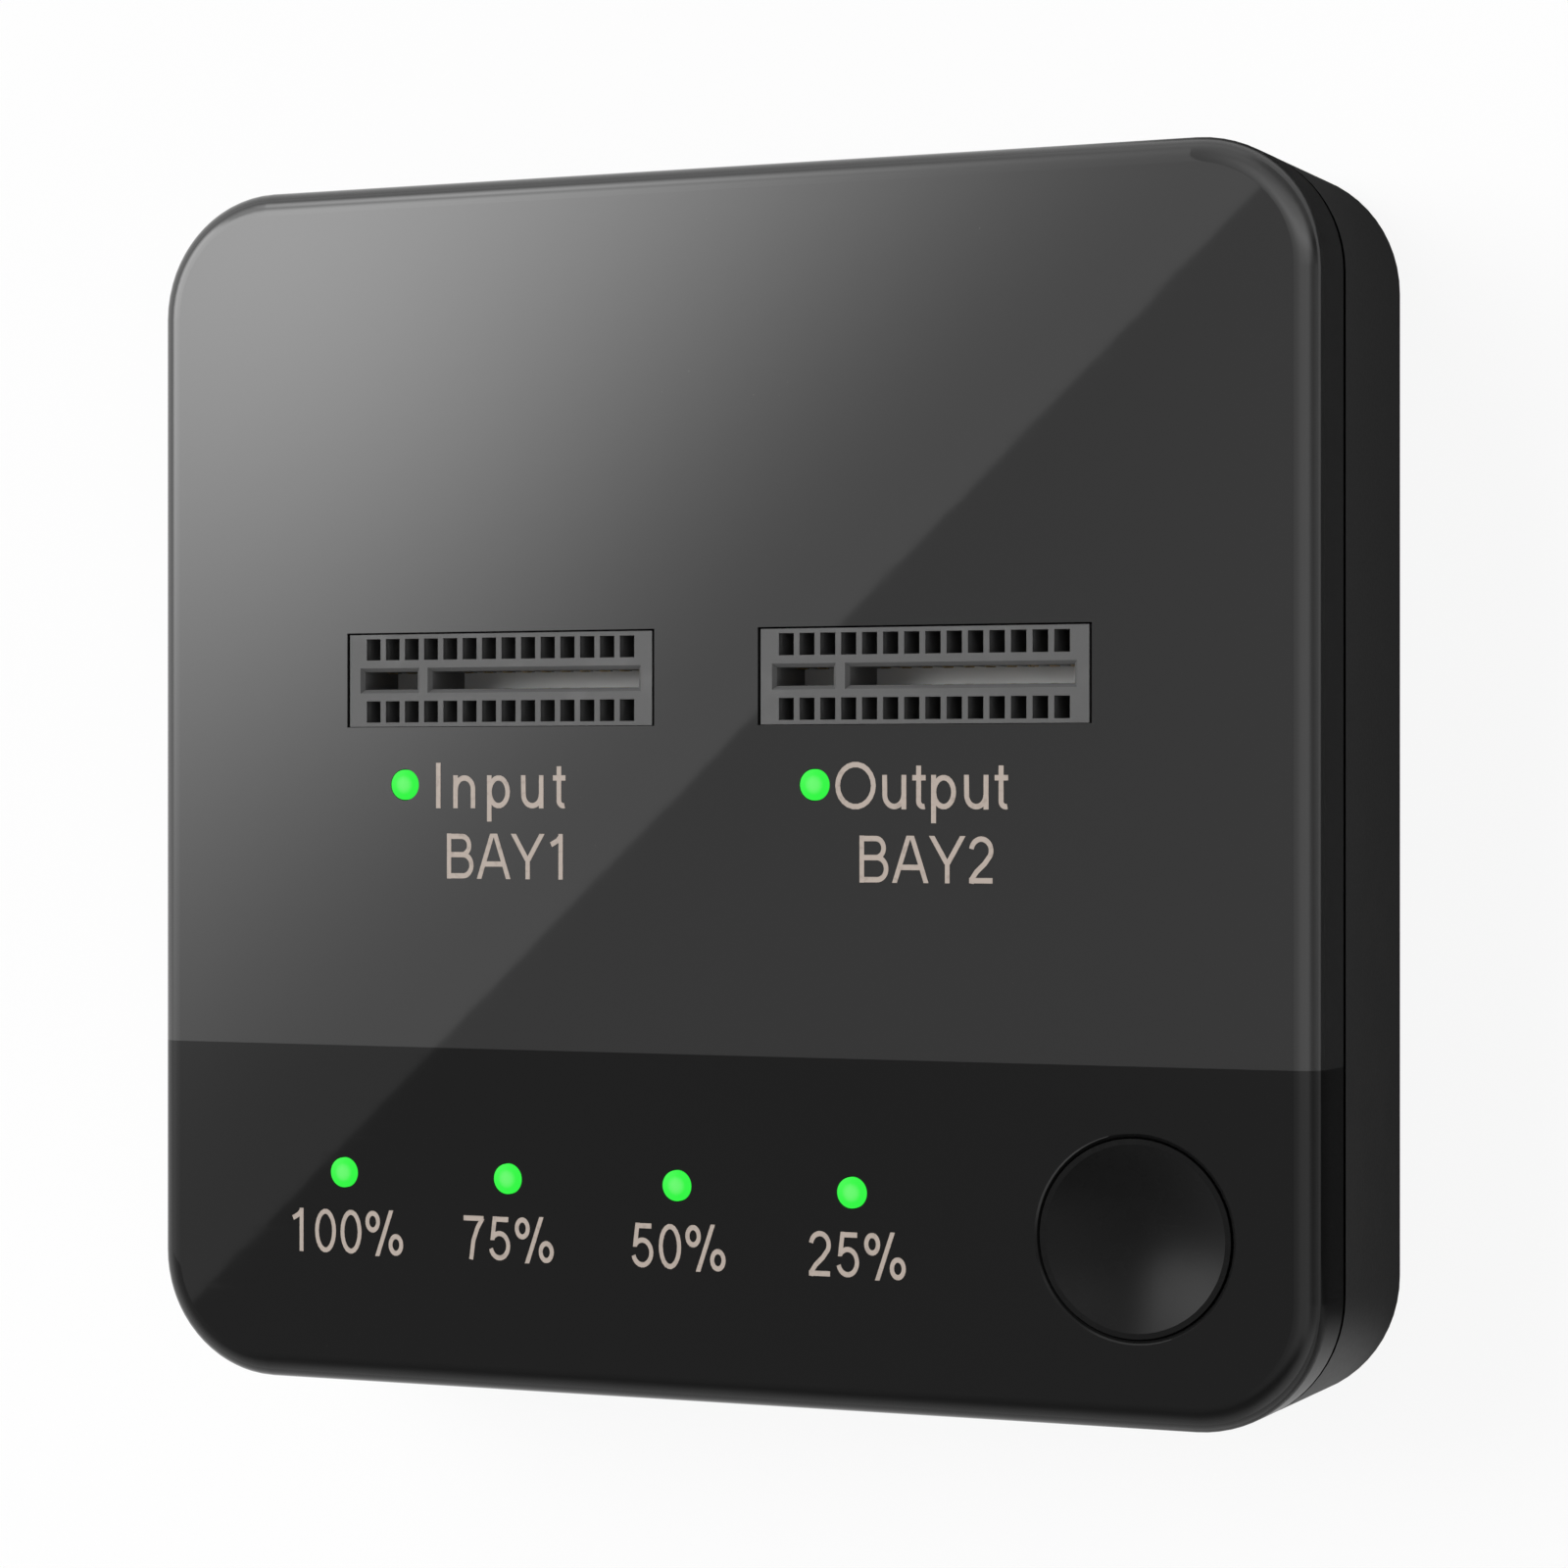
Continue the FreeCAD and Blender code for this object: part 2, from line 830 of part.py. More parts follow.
def light_pipe(x, y):
    # its flange lies against the underside of the cover
    flange_low = ceiling - pipe_flange_height
    flange = middle_box(x, y, pipe_flange_side, pipe_flange_side, flange_low, ceiling)
    return join([flange, light_rod(x, y), light_leg(x, y, flange_low + fine_gap)])


def progress_light_guide():
    # bar under the control panel that joins the four light pipes, held by two stakes
    lights = progress_light_places()
    bar_low = ceiling - guide_bar_height
    half_bar = guide_bar_width / 2
    first_x, y = lights[0]
    last_x = lights[-1][0]
    bar = box(first_x - half_bar, last_x + half_bar, y - half_bar, y + half_bar, bar_low, ceiling)
    rods = [light_rod(*place) for place in lights]
    legs = [light_leg(*place, bar_low + fine_gap) for place in lights]
    hole_side = stake_side + 2 * fine_gap
    holes = [middle_box(*place, hole_side, hole_side, bar_low, ceiling) for place in stake_places()]
    return join([bar] + rods + legs).cut(holes)


def light_chip(x, y):
    # white base with a narrower clear block on it
    base_top = board_top + light_chip_base
    base = middle_box(x, y, light_chip_length, light_chip_width, board_top, base_top)
    block = middle_box(x, y, light_block_length, light_chip_width, base_top, light_top)
    return join([base, block])


def clone_button():
    # turned cap with a side wall, stop flange and middle post, dished by a ball
    rim_height = face - button_recess
    dish_low = rim_height - button_dish_depth
    dish_radius = button_radius - button_rim
    ball_radius = (dish_radius ** 2 + button_dish_depth ** 2) / (2 * button_dish_depth)
    under = dish_low - button_crown_wall
    flange_high = ceiling - button_top_play
    flange_low = flange_high - button_flange_height
    flange_radius = button_radius + button_flange
    inner_radius = button_radius - button_side_wall
    cap = turned(
        [
            (0, rim_height),
            (button_radius, rim_height),
            (button_radius, flange_high),
            (flange_radius, flange_high),
            (flange_radius, flange_low),
            (inner_radius, flange_low),
            (inner_radius, under),
            (button_post_radius, under),
            (button_post_radius, post_low),
            (0, post_low),
        ]
    )
    dish = ball(ball_radius, at(0, 0, dish_low + ball_radius))
    return moved(cap.cut(dish), button_x, button_y)


def switch_base():
    low = board_top
    high = board_top + switch_base_height
    body = middle_box(0, 0, switch_side, switch_side, low, high)
    pocket = rod(0, 0, switch_pocket_radius, low + switch_floor, high)
    return moved(body.cut(pocket), button_x, button_y)


def switch_plate():
    # steel top plate with two tabs folded down over the sides of the switch
    low = board_top + switch_base_height
    high = low + switch_plate_thickness
    plate = middle_box(0, 0, switch_side, switch_side, low, high)
    tabs = []
    for side in (-1, 1):
        tab_y = side * (switch_side / 2 + switch_plate_thickness / 2)
        tabs.append(
            middle_box(0, tab_y, switch_side / 2, switch_plate_thickness, low - switch_plate_tab, high)
        )
    hole = rod(0, 0, switch_stem_radius + switch_stem_gap, low, high)
    return moved(join([plate] + tabs).cut(hole), button_x, button_y)


def dome_top():
    return board_top + switch_floor + dome_crown + dome_thickness


def switch_dome():
    # thin snap disc, curved up from its rim on the pocket's floor
    floor_height = board_top + switch_floor
    ball_radius = (dome_radius ** 2 + dome_crown ** 2) / (2 * dome_crown)
    centre = at(0, 0, floor_height + dome_crown - ball_radius)
    blank = rod(0, 0, dome_radius, floor_height, dome_top() + fine_gap)
    disc = blank.common(ball(ball_radius + dome_thickness, centre)).cut(ball(ball_radius, centre))
    return moved(disc, button_x, button_y)


def switch_stem():
    # its flange stays under the plate and rests on the snap disc
    flange_high = board_top + switch_base_height - switch_stem_gap
    flange_low = dome_top() + fine_gap / 2
    flange_radius = switch_stem_radius + switch_stem_flange
    flange = rod(0, 0, flange_radius, flange_low, flange_high)
    return moved(join([flange, rod(0, 0, switch_stem_radius, flange_low, stem_top)]), button_x, button_y)


def switch_legs():
    legs = []
    side = switch_side / 2
    bend = side + switch_leg_reach
    level = board_top + switch_floor / 2
    foot_level = board_top + switch_leg_thickness / 2
    path = [
        (side, level),
        (bend, level),
        (bend, foot_level),
        (bend + switch_leg_foot, foot_level),
    ]
    one = upright_strip(path, switch_leg_thickness, switch_leg_width)
    for angle in (90, -90):
        for sign in (-1, 1):
            leg = one.copy()
            leg.rotate(at(0, 0, 0), at(0, 0, 1), angle)
            legs.append(moved(leg, button_x, button_y + sign * switch_leg_spacing / 2))
    return Part.makeCompound(legs)


def usb_leg_middles():
    mouth = half_length - usb_recess
    side = usb_shell_width / 2 - usb_shell_wall / 2
    return [(usb_place + s * side, mouth - back) for s in (-1, 1) for back in usb_leg_places]


def usb_shell():
    mouth = half_length - usb_recess
    back = mouth - usb_shell_length
    outer = stadium_along_y(
        usb_place, usb_axis_height, usb_shell_width, usb_shell_height, back, mouth
    )
    inner = stadium_along_y(
        usb_place,
        usb_axis_height,
        usb_shell_width - 2 * usb_shell_wall,
        usb_shell_height - 2 * usb_shell_wall,
        back,
        mouth,
    )
    leg_low = board_top - usb_leg_length
    legs = [
        middle_box(x, y, usb_shell_wall, usb_leg_width, leg_low, usb_axis_height)
        for x, y in usb_leg_middles()
    ]
    return join([outer.cut(inner)] + [leg.cut(inner) for leg in legs])


def usb_tongue():
    mouth = half_length - usb_recess
    back = mouth - usb_shell_length
    block = stadium_along_y(
        usb_place,
        usb_axis_height,
        usb_shell_width - 2 * usb_shell_wall,
        usb_shell_height - 2 * usb_shell_wall,
        back,
        back + usb_block_length,
    )
    tongue = middle_box(0, 0, usb_tongue_width, usb_tongue_thickness, back, mouth - usb_tongue_setback)
    tongue.rotate(at(0, 0, 0), at(1, 0, 0), -90)
    tongue.translate(at(usb_place, 0, usb_axis_height))
    return join([block, tongue])


def usb_contacts():
    high_y = half_length - usb_recess - usb_tongue_setback - usb_contact_width
    low_y = high_y - usb_contact_length
    first = usb_place - usb_contact_pitch * (usb_contact_count - 1) / 2
    strips = []
    for index in range(usb_contact_count):
        x = first + index * usb_contact_pitch
        x_low = x - usb_contact_width / 2
        x_high = x + usb_contact_width / 2
        top = usb_axis_height + usb_tongue_thickness / 2
        bottom = usb_axis_height - usb_tongue_thickness / 2
        strips.append(box(x_low, x_high, low_y, high_y, top, top + usb_contact_height))
        strips.append(box(x_low, x_high, low_y, high_y, bottom - usb_contact_height, bottom))
    return Part.makeCompound(strips)


def jack_front():
    return half_length - side_wall - jack_wall_gap


def jack_mouth():
    return half_length - jack_recess


def jack_bore_end():
    return jack_mouth() - jack_bore_depth


def jack_window():
    # how far along Y the side window for the outer contact reaches
    return jack_bore_end() + jack_window_end_wall, jack_front() - jack_window_end_wall


def dc_jack_housing():
    front = jack_front()
    back = front - jack_length
    top = board_top + jack_height
    body = middle_box(jack_place, (front + back) / 2, jack_width, jack_length, board_top, top)
    nose = rod_along_y(
        jack_place, jack_axis_height, jack_nose_radius, front - fine_gap, jack_mouth()
    )
    bore = rod_along_y(
        jack_place, jack_axis_height, jack_bore_radius, jack_bore_end(), jack_mouth()
    )
    pin_hole = rod_along_y(jack_place, jack_axis_height, jack_shank_radius, back, jack_bore_end())
    near, far = jack_window()
    half_window = jack_spring_width / 2 + fine_gap
    window = box(
        jack_place - jack_width / 2,
        jack_place,
        near,
        far,
        jack_axis_height - half_window,
        jack_axis_height + half_window,
    )
    return join([body, nose]).cut([bore, pin_hole, window])


def dc_centre_pin():
    # bevelled pin in the bore, a thinner shank through the housing and a flat tail behind it
    back = jack_front() - jack_length
    tip = jack_mouth() - jack_pin_short_of_mouth
    pin = rod_along_y(jack_place, jack_axis_height, jack_pin_radius, jack_bore_end(), tip)
    tip_edges = [e for e in pin.Edges if all(v.Y > tip - tiny for v in e.Vertexes)]
    pin = pin.makeChamfer(jack_pin_tip, tip_edges)
    shank = rod_along_y(jack_place, jack_axis_height, jack_shank_radius, back, jack_bore_end())
    tail = box(
        jack_place - jack_spring_width / 2,
        jack_place + jack_spring_width / 2,
        back - jack_spring_thickness,
        back,
        board_top,
        jack_axis_height + jack_pin_radius,
    )
    return join([pin, shank, tail])


def dc_spring_contact():
    # leaf along the side of the jack: its middle bows in through the window to touch the plug
    near, far = jack_window()
    side = jack_place - jack_width / 2 - jack_spring_thickness / 2
    touch = jack_place - jack_bore_radius + jack_spring_touch - jack_spring_thickness / 2
    middle = (near + far) / 2
    reach = (far - near) / 2 - jack_spring_end_room
    path = [
        (side, far + jack_window_end_wall),
        (side, middle + reach),
        (touch, middle + jack_spring_touch_length / 2),
        (touch, middle - jack_spring_touch_length / 2),
        (side, middle - reach),
        (side, near - jack_window_end_wall),
    ]
    leaf = lying_strip(path, jack_spring_thickness, jack_spring_width, jack_axis_height)
    leg = box(
        side - jack_spring_thickness / 2,
        side + jack_spring_thickness / 2,
        near - jack_window_end_wall,
        near - jack_window_end_wall + jack_spring_width,
        board_top,
        jack_axis_height,
    )
    return join([leaf, leg])


def chip_body(place, length, width, height):
    # moulded chip with its upper edges bevelled
    body = middle_box(*place, length, width, board_top + chip_lift, board_top + height)
    return body.makeChamfer(chip_bevel, edges_at_height(body, board_top + height))


def bridge_chip():
    # leadless square chip on the soldered pad under its middle
    body = chip_body(bridge_place, bridge_side, bridge_side, bridge_height)
    pad = middle_box(*bridge_place, bridge_pad_side, bridge_pad_side, board_top, board_top + chip_lift)
    return join([body, pad])


def flash_memory():
    return chip_body(flash_place, flash_length, flash_width, flash_height)


def supply_place(side, line):
    # one supply circuit for each bay, near its side of the case
    return side * (half_width - supply_from_side), line


def regulator(side):
    place = supply_place(side, regulator_line)
    return chip_body(place, regulator_length, regulator_width, regulator_height)


def gull_wing_leads(place, width, height, pitch, count):
    # bent leads on both long sides of a chip
    x, y = place
    side = width / 2
    bend = side + chip_lead_reach
    level = board_top + height / 2
    foot_level = board_top + chip_lead_thickness / 2
    path = [
        (side, level),
        (bend, level),
        (bend, foot_level),
        (bend + chip_lead_foot, foot_level),
    ]
    one = upright_strip(path, chip_lead_thickness, chip_lead_width)
    leads = []
    for index in range(count):
        along = (index - (count - 1) / 2) * pitch
        for turn in (0, 180):
            lead = one.copy()
            lead.rotate(at(0, 0, 0), at(0, 0, 1), turn)
            leads.append(moved(lead, x + along, y))
    return leads


def chip_leads():
    leads = gull_wing_leads(
        flash_place, flash_width, flash_height, flash_lead_pitch, flash_side_lead_count
    )
    for side in (-1, 1):
        leads += gull_wing_leads(
            supply_place(side, regulator_line),
            regulator_width,
            regulator_height,
            regulator_lead_pitch,
            regulator_side_lead_count,
        )
    return Part.makeCompound(leads)


def crystal():
    # metal can with its upright edges bevelled
    can = middle_box(*crystal_place, crystal_length, crystal_width, board_top, board_top + crystal_height)
    return can.makeChamfer(crystal_cut, upright_edges(can))


def inductor(side):
    # shielded inductor, square with its corners cut
    x, y = supply_place(side, inductor_line)
    block = middle_box(x, y, inductor_side, inductor_side, board_top, board_top + inductor_height)
    return block.makeChamfer(inductor_cut, upright_edges(block))


def capacitor_can(side):
    # drawn can with its upper edge bevelled
    x, y = capacitor_place
    high = board_top + capacitor_height
    can = turned(
        [
            (0, board_top + capacitor_plinth_height),
            (capacitor_radius, board_top + capacitor_plinth_height),
            (capacitor_radius, high - capacitor_bevel),
            (capacitor_radius - capacitor_bevel, high),
            (0, high),
        ]
    )
    return moved(can, side * x, y)


def capacitor_plinth(side):
    x, y = capacitor_place
    half = capacitor_plinth_side / 2
    cut = capacitor_plinth_cut
    ring = [
        at(-half, -half),
        at(half - cut, -half),
        at(half, cut - half),
        at(half, half - cut),
        at(half - cut, half),
        at(-half, half),
    ]
    plate = Part.Face(Part.makePolygon(ring + [ring[0]]))
    return moved(plate.extrude(at(0, 0, capacitor_plinth_height)), side * x, y, board_top)


def chip_capacitors():
    # rows beside the bridge chip, and three beside each drive socket
    x, y = bridge_place
    places = []
    for row in (-1, 1):
        for index in (-2, -1, 0, 1, 2):
            places.append(
                (x + index * chip_part_pitch, y + row * (bridge_side / 2 + chip_part_pitch / 2))
            )
    for socket_x, socket_y in socket_places():
        for index in (-1, 0, 1):
            beside = opening_depth / 2 + chip_part_pitch
            places.append((socket_x + index * bay_part_pitch, socket_y + beside))
    top = board_top + chip_capacitor_height
    return Part.makeCompound(
        [middle_box(*place, chip_part_length, chip_part_width, board_top, top) for place in places]
    )


def light_places():
    return label_light_places() + progress_light_places()


def chip_resistors():
    # one beside each light, and two behind the USB inlet
    places = [(x + chip_part_pitch, y) for x, y in light_places()]
    behind_usb = half_length - usb_recess - usb_shell_length - chip_part_pitch
    places += [(usb_place + side * chip_part_pitch, behind_usb) for side in (-1, 1)]
    top = board_top + chip_resistor_height
    return Part.makeCompound(
        [middle_box(*place, chip_part_length, chip_part_width, board_top, top) for place in places]
    )


def all_pieces():
    source, target = socket_places()
    source_light, target_light = label_light_places()
    pieces = {
        "front_cover": front_cover(),
        "control_panel": control_panel(),
        "base_shell": base_shell(),
        "main_board": main_board(),
        "source_socket_housing": socket_housing(*source),
        "target_socket_housing": socket_housing(*target),
        "source_socket_contacts": socket_contacts(*source),
        "target_socket_contacts": socket_contacts(*target),
        "source_socket_anchors": socket_anchors(*source),
        "target_socket_anchors": socket_anchors(*target),
        "source_light_pipe": light_pipe(*source_light),
        "target_light_pipe": light_pipe(*target_light),
        "progress_light_guide": progress_light_guide(),
        "source_light_chip": light_chip(*source_light),
        "target_light_chip": light_chip(*target_light),
        "clone_button": clone_button(),
        "switch_base": switch_base(),
        "switch_plate": switch_plate(),
        "switch_dome": switch_dome(),
        "switch_stem": switch_stem(),
        "switch_legs": switch_legs(),
        "usb_shell": usb_shell(),
        "usb_tongue": usb_tongue(),
        "usb_contacts": usb_contacts(),
        "dc_jack_housing": dc_jack_housing(),
        "dc_centre_pin": dc_centre_pin(),
        "dc_spring_contact": dc_spring_contact(),
        "bridge_chip": bridge_chip(),
        "flash_memory": flash_memory(),
        "chip_leads": chip_leads(),
        "crystal": crystal(),
        "chip_capacitors": chip_capacitors(),
        "chip_resistors": chip_resistors(),
        "case_screws": case_screws(),
        "board_screws": board_screws(),
    }
    for index, place in enumerate(progress_light_places(), 1):
        pieces["progress_light_chip_" + str(index)] = light_chip(*place)
    for side, bay in ((-1, "source"), (1, "target")):
        pieces[bay + "_regulator"] = regulator(side)
        pieces[bay + "_inductor"] = inductor(side)
        pieces[bay + "_capacitor_can"] = capacitor_can(side)
        pieces[bay + "_capacitor_plinth"] = capacitor_plinth(side)
    corner_names = ("rear_right", "rear_left", "front_left", "front_right")
    for name, place in zip(corner_names, foot_places()):
        pieces["foot_" + name] = foot(*place)
    return pieces


os.makedirs("parts", exist_ok=True)
for name, shape in all_pieces().items():
    shape.exportStep("parts/" + name + ".step")
    print(name, len(shape.Solids), round(shape.Volume, 2), "valid" if shape.isValid() else "not valid")
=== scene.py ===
import json
import math

import bmesh
import bpy
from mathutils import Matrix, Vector


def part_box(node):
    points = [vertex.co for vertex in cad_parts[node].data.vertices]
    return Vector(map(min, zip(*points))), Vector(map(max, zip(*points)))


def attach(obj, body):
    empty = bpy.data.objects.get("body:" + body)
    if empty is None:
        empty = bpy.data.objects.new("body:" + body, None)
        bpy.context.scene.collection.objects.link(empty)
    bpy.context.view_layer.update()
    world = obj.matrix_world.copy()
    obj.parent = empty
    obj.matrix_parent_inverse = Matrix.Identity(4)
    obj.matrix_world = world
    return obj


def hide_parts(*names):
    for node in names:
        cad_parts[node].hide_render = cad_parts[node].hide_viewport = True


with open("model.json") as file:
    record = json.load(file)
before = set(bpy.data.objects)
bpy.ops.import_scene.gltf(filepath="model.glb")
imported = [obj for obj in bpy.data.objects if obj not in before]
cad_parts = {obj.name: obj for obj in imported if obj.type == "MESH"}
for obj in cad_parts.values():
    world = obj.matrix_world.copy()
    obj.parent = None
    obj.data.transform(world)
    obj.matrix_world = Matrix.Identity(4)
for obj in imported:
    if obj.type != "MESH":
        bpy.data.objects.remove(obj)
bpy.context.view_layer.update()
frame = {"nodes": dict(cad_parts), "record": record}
print("frame loaded:", len(frame["nodes"]), "nodes")

millimetre = 0.001
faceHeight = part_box("front_cover")[1].z


class Wire:
    # one output of a node; a sum written with it adds the Math node that works it out
    def __init__(self, recipe, node, output=0):
        self.recipe = recipe
        self.node = node
        self.socket = node.outputs[output] if node.outputs else None

    def out(self, name):
        return Wire(self.recipe, self.node, name)

    def maths(self, operation, first, second):
        return self.recipe.add("Math", {"operation": operation}, {0: first, 1: second})

    def __add__(self, other):
        return self.maths("ADD", self, other)

    def __radd__(self, other):
        return self.maths("ADD", other, self)

    def __sub__(self, other):
        return self.maths("SUBTRACT", self, other)

    def __rsub__(self, other):
        return self.maths("SUBTRACT", other, self)

    def __mul__(self, other):
        return self.maths("MULTIPLY", self, other)

    def __rmul__(self, other):
        return self.maths("MULTIPLY", other, self)

    def __truediv__(self, other):
        return self.maths("DIVIDE", self, other)

    def __rtruediv__(self, other):
        return self.maths("DIVIDE", other, self)

    def __lt__(self, other):
        return self.maths("LESS_THAN", self, other)

    def __gt__(self, other):
        return self.maths("GREATER_THAN", self, other)

    def most(self, other):
        return self.maths("MAXIMUM", self, other)

    def least(self, other):
        return self.maths("MINIMUM", self, other)

    def root(self):
        return self.maths("SQRT", self, 0.0)

    def size(self):
        return self.maths("ABSOLUTE", self, 0.0)

    def fraction(self):
        return self.maths("FRACT", self, 0.0)


class Recipe:
    # the nodes of one finish, or those of the room's light
    def __init__(self, tree):
        self.tree = tree
        tree.nodes.clear()

    def add(self, kind, settings, sockets, output=0):
        node = self.tree.nodes.new("ShaderNode" + kind)
        for name, value in settings.items():
            setattr(node, name, value)
        for name, value in sockets.items():
            if isinstance(value, Wire):
                self.tree.links.new(value.socket, node.inputs[name])
            else:
                node.inputs[name].default_value = value
        return Wire(self, node, output)

    def place(self):
        return self.add("TexCoord", {}, {}, "Object")

    def normal(self):
        return self.add("NewGeometry", {}, {}, "Normal")

    def axes(self, vector):
        parts = self.add("SeparateXYZ", {}, {"Vector": vector})
        return parts.out("X"), parts.out("Y"), parts.out("Z")

    def stretched(self, vector, scales):
        return self.add("VectorMath", {"operation": "MULTIPLY"}, {0: vector, 1: scales})

    def noise(self, vector, scale, detail=2.0, roughness=0.5):
        sockets = {"Vector": vector, "Scale": scale, "Detail": detail, "Roughness": roughness}
        return self.add("TexNoise", {}, sockets)

    def specks(self, vector, scale, share):
        return self.add("TexVoronoi", {"feature": "F1"}, {"Vector": vector, "Scale": scale}) < share

    def rise(self, value, ends):
        sockets = {"Value": value, "From Min": ends[0], "From Max": ends[1]}
        return self.add("MapRange", {"interpolation_type": "SMOOTHSTEP"}, sockets)

    def fall(self, value, ends):
        return 1.0 - self.rise(value, ends)

    def blend(self, factor, first, second):
        # among the sockets of this node 6 and 7 are its colours, and the mixed colour comes out of 2
        return self.add("Mix", {"data_type": "RGBA"}, {0: factor, 6: first, 7: second}, 2)

    def bump(self, height, distance):
        return self.add("Bump", {}, {"Height": height, "Distance": distance})

    def surface(self, sockets):
        shader = self.add("BsdfPrincipled", {}, sockets)
        self.add("OutputMaterial", {}, {"Surface": shader})


def newFinish(name):
    material = bpy.data.materials.new(name)
    material.use_nodes = True
    return material, Recipe(material.node_tree)


def grey(level, warmth=0.0):
    return (level * (1 + warmth), level, level * (1 - warmth), 1.0)


# The marks that handling leaves: fingerprints and fine lines raise the roughness, and dust lies on top.
# A pair holds the two values of a noise between which the mark comes up
handling = {
    "smudge": (0.46, 0.72),
    "ridge": (0.35, 0.75),
    "ridgesInSmudge": 9,
    "lineAlong": (0.70, 0.76),
    "lineAcross": (0.72, 0.78),
    "dustDrift": (0.55, 0.8),
    "dustDriftScale": 90.0,
    "dustRoughness": 0.3,
}


def smudges(recipe, place, look):
    scale = look["smudgeScale"]
    broad = recipe.rise(recipe.noise(place, scale, detail=3.0), handling["smudge"])
    fine = recipe.rise(recipe.noise(place, scale * handling["ridgesInSmudge"]), handling["ridge"])
    return broad * fine


def fineLines(recipe, place, look):
    along = recipe.stretched(place, look["lineStretch"])
    across = recipe.stretched(place, tuple(reversed(look["lineStretch"])))
    first = recipe.rise(recipe.noise(along, look["lineScale"], detail=1.0), handling["lineAlong"])
    second = recipe.rise(recipe.noise(across, look["lineScale"], detail=1.0), handling["lineAcross"])
    return first.most(second)


coverLook = {
    "colour": grey(0.026),
    "dustColour": grey(0.07, 0.05),
    "roughness": 0.02,
    "smudgeRoughness": 0.01,
    "smudgeScale": 38.0,
    "lineRoughness": 0.015,
    "lineStretch": (0.03, 1.0, 0.4),
    "lineScale": 2400.0,
    "peelScale": 420.0,
    "peelHeight": 0.0004 * millimetre,
    "dustScale": 900.0,
    "dustShare": 0.045,
    "specular": 0.5,
    "ior": 1.5,
}
panelLook = dict(
    coverLook, colour=grey(0.0085), dustColour=grey(0.03, 0.05), smudgeScale=52.0, specular=0.25,
)
buttonLook = dict(
    coverLook, colour=grey(0.0075), dustColour=grey(0.03, 0.05), roughness=0.26, smudgeRoughness=0.1,
    smudgeScale=130.0, peelScale=2600.0, peelHeight=0.0015 * millimetre, specular=0.08,
)


def glossyPlastic(name, look):
    material, recipe = newFinish(name)
    place = recipe.place()
    dust = recipe.specks(place, look["dustScale"], look["dustShare"])
    dust = dust * recipe.rise(recipe.noise(place, handling["dustDriftScale"]), handling["dustDrift"])
    marks = smudges(recipe, place, look)
    lines = fineLines(recipe, place, look)
    roughness = look["roughness"] + marks * look["smudgeRoughness"] + lines * look["lineRoughness"]
    peel = recipe.bump(recipe.noise(place, look["peelScale"], detail=1.0), look["peelHeight"])
    recipe.surface({
        "Base Color": recipe.blend(dust, look["colour"], look["dustColour"]),
        "Roughness": roughness + dust * handling["dustRoughness"],
        "IOR": look["ior"],
        "Specular IOR Level": look["specular"],
        "Normal": peel,
    })
    return material


shellLook = {
    "colour": grey(0.036),
    "wornColour": grey(0.045, 0.03),
    "roughness": 0.34,
    "wornRoughness": 0.06,
    "grainScale": 3400.0,
    "grainHeight": 0.012 * millimetre,
    "patchScale": 70.0,
    "ior": 1.46,
    # painted shade: the lip inside the gap between the shells is painted black
    "gapShadeColour": grey(0.001),
    "gapFloor": 14.13 * millimetre,
}
socketLook = {
    "colour": grey(0.063),
    "wornColour": grey(0.08),
    "roughness": 0.48,
    "wornRoughness": 0.16,
    "grainScale": 5200.0,
    "grainHeight": 0.006 * millimetre,
    "patchScale": 240.0,
    "ior": 1.5,
    # painted light: a pale floor and pale walls for the slots, against the shade that falls in them
    "paintedFloorLight": grey(0.9),
    "paintedWallLight": grey(0.12),
    "deep": (2.6 * millimetre, 4.4 * millimetre),
    "wallFrom": 0.35 * millimetre,
}
rubberLook = {
    "colour": grey(0.014),
    "wornColour": grey(0.045, 0.06),
    "roughness": 0.72,
    "wornRoughness": 0.15,
    "grainScale": 2600.0,
    "grainHeight": 0.02 * millimetre,
    "patchScale": 160.0,
    "ior": 1.5,
}
innerLook = dict(
    rubberLook, colour=grey(0.015), wornColour=grey(0.03), roughness=0.5, grainHeight=0.012 * millimetre,
)
chipLook = dict(rubberLook, colour=grey(0.013), wornColour=grey(0.02), roughness=0.5, grainScale=7000.0)
ceramicLook = dict(
    rubberLook, colour=(0.42, 0.29, 0.17, 1.0), wornColour=(0.5, 0.36, 0.22, 1.0), roughness=0.5,
)
# eroded mould grain, polished a little where hands and cards rub
moulding = {
    "harshness": 0.6,
    "patch": (0.5, 0.78),
    "patchTint": 0.5,
    "fleckScale": 0.4,  # of the scale of the grain
    "fleckShare": 0.05,
    "fleckTint": 0.4,
    "grainRoughness": 0.1,
    "level": 0.5,  # a surface counts as level when its normal rises more than this
}


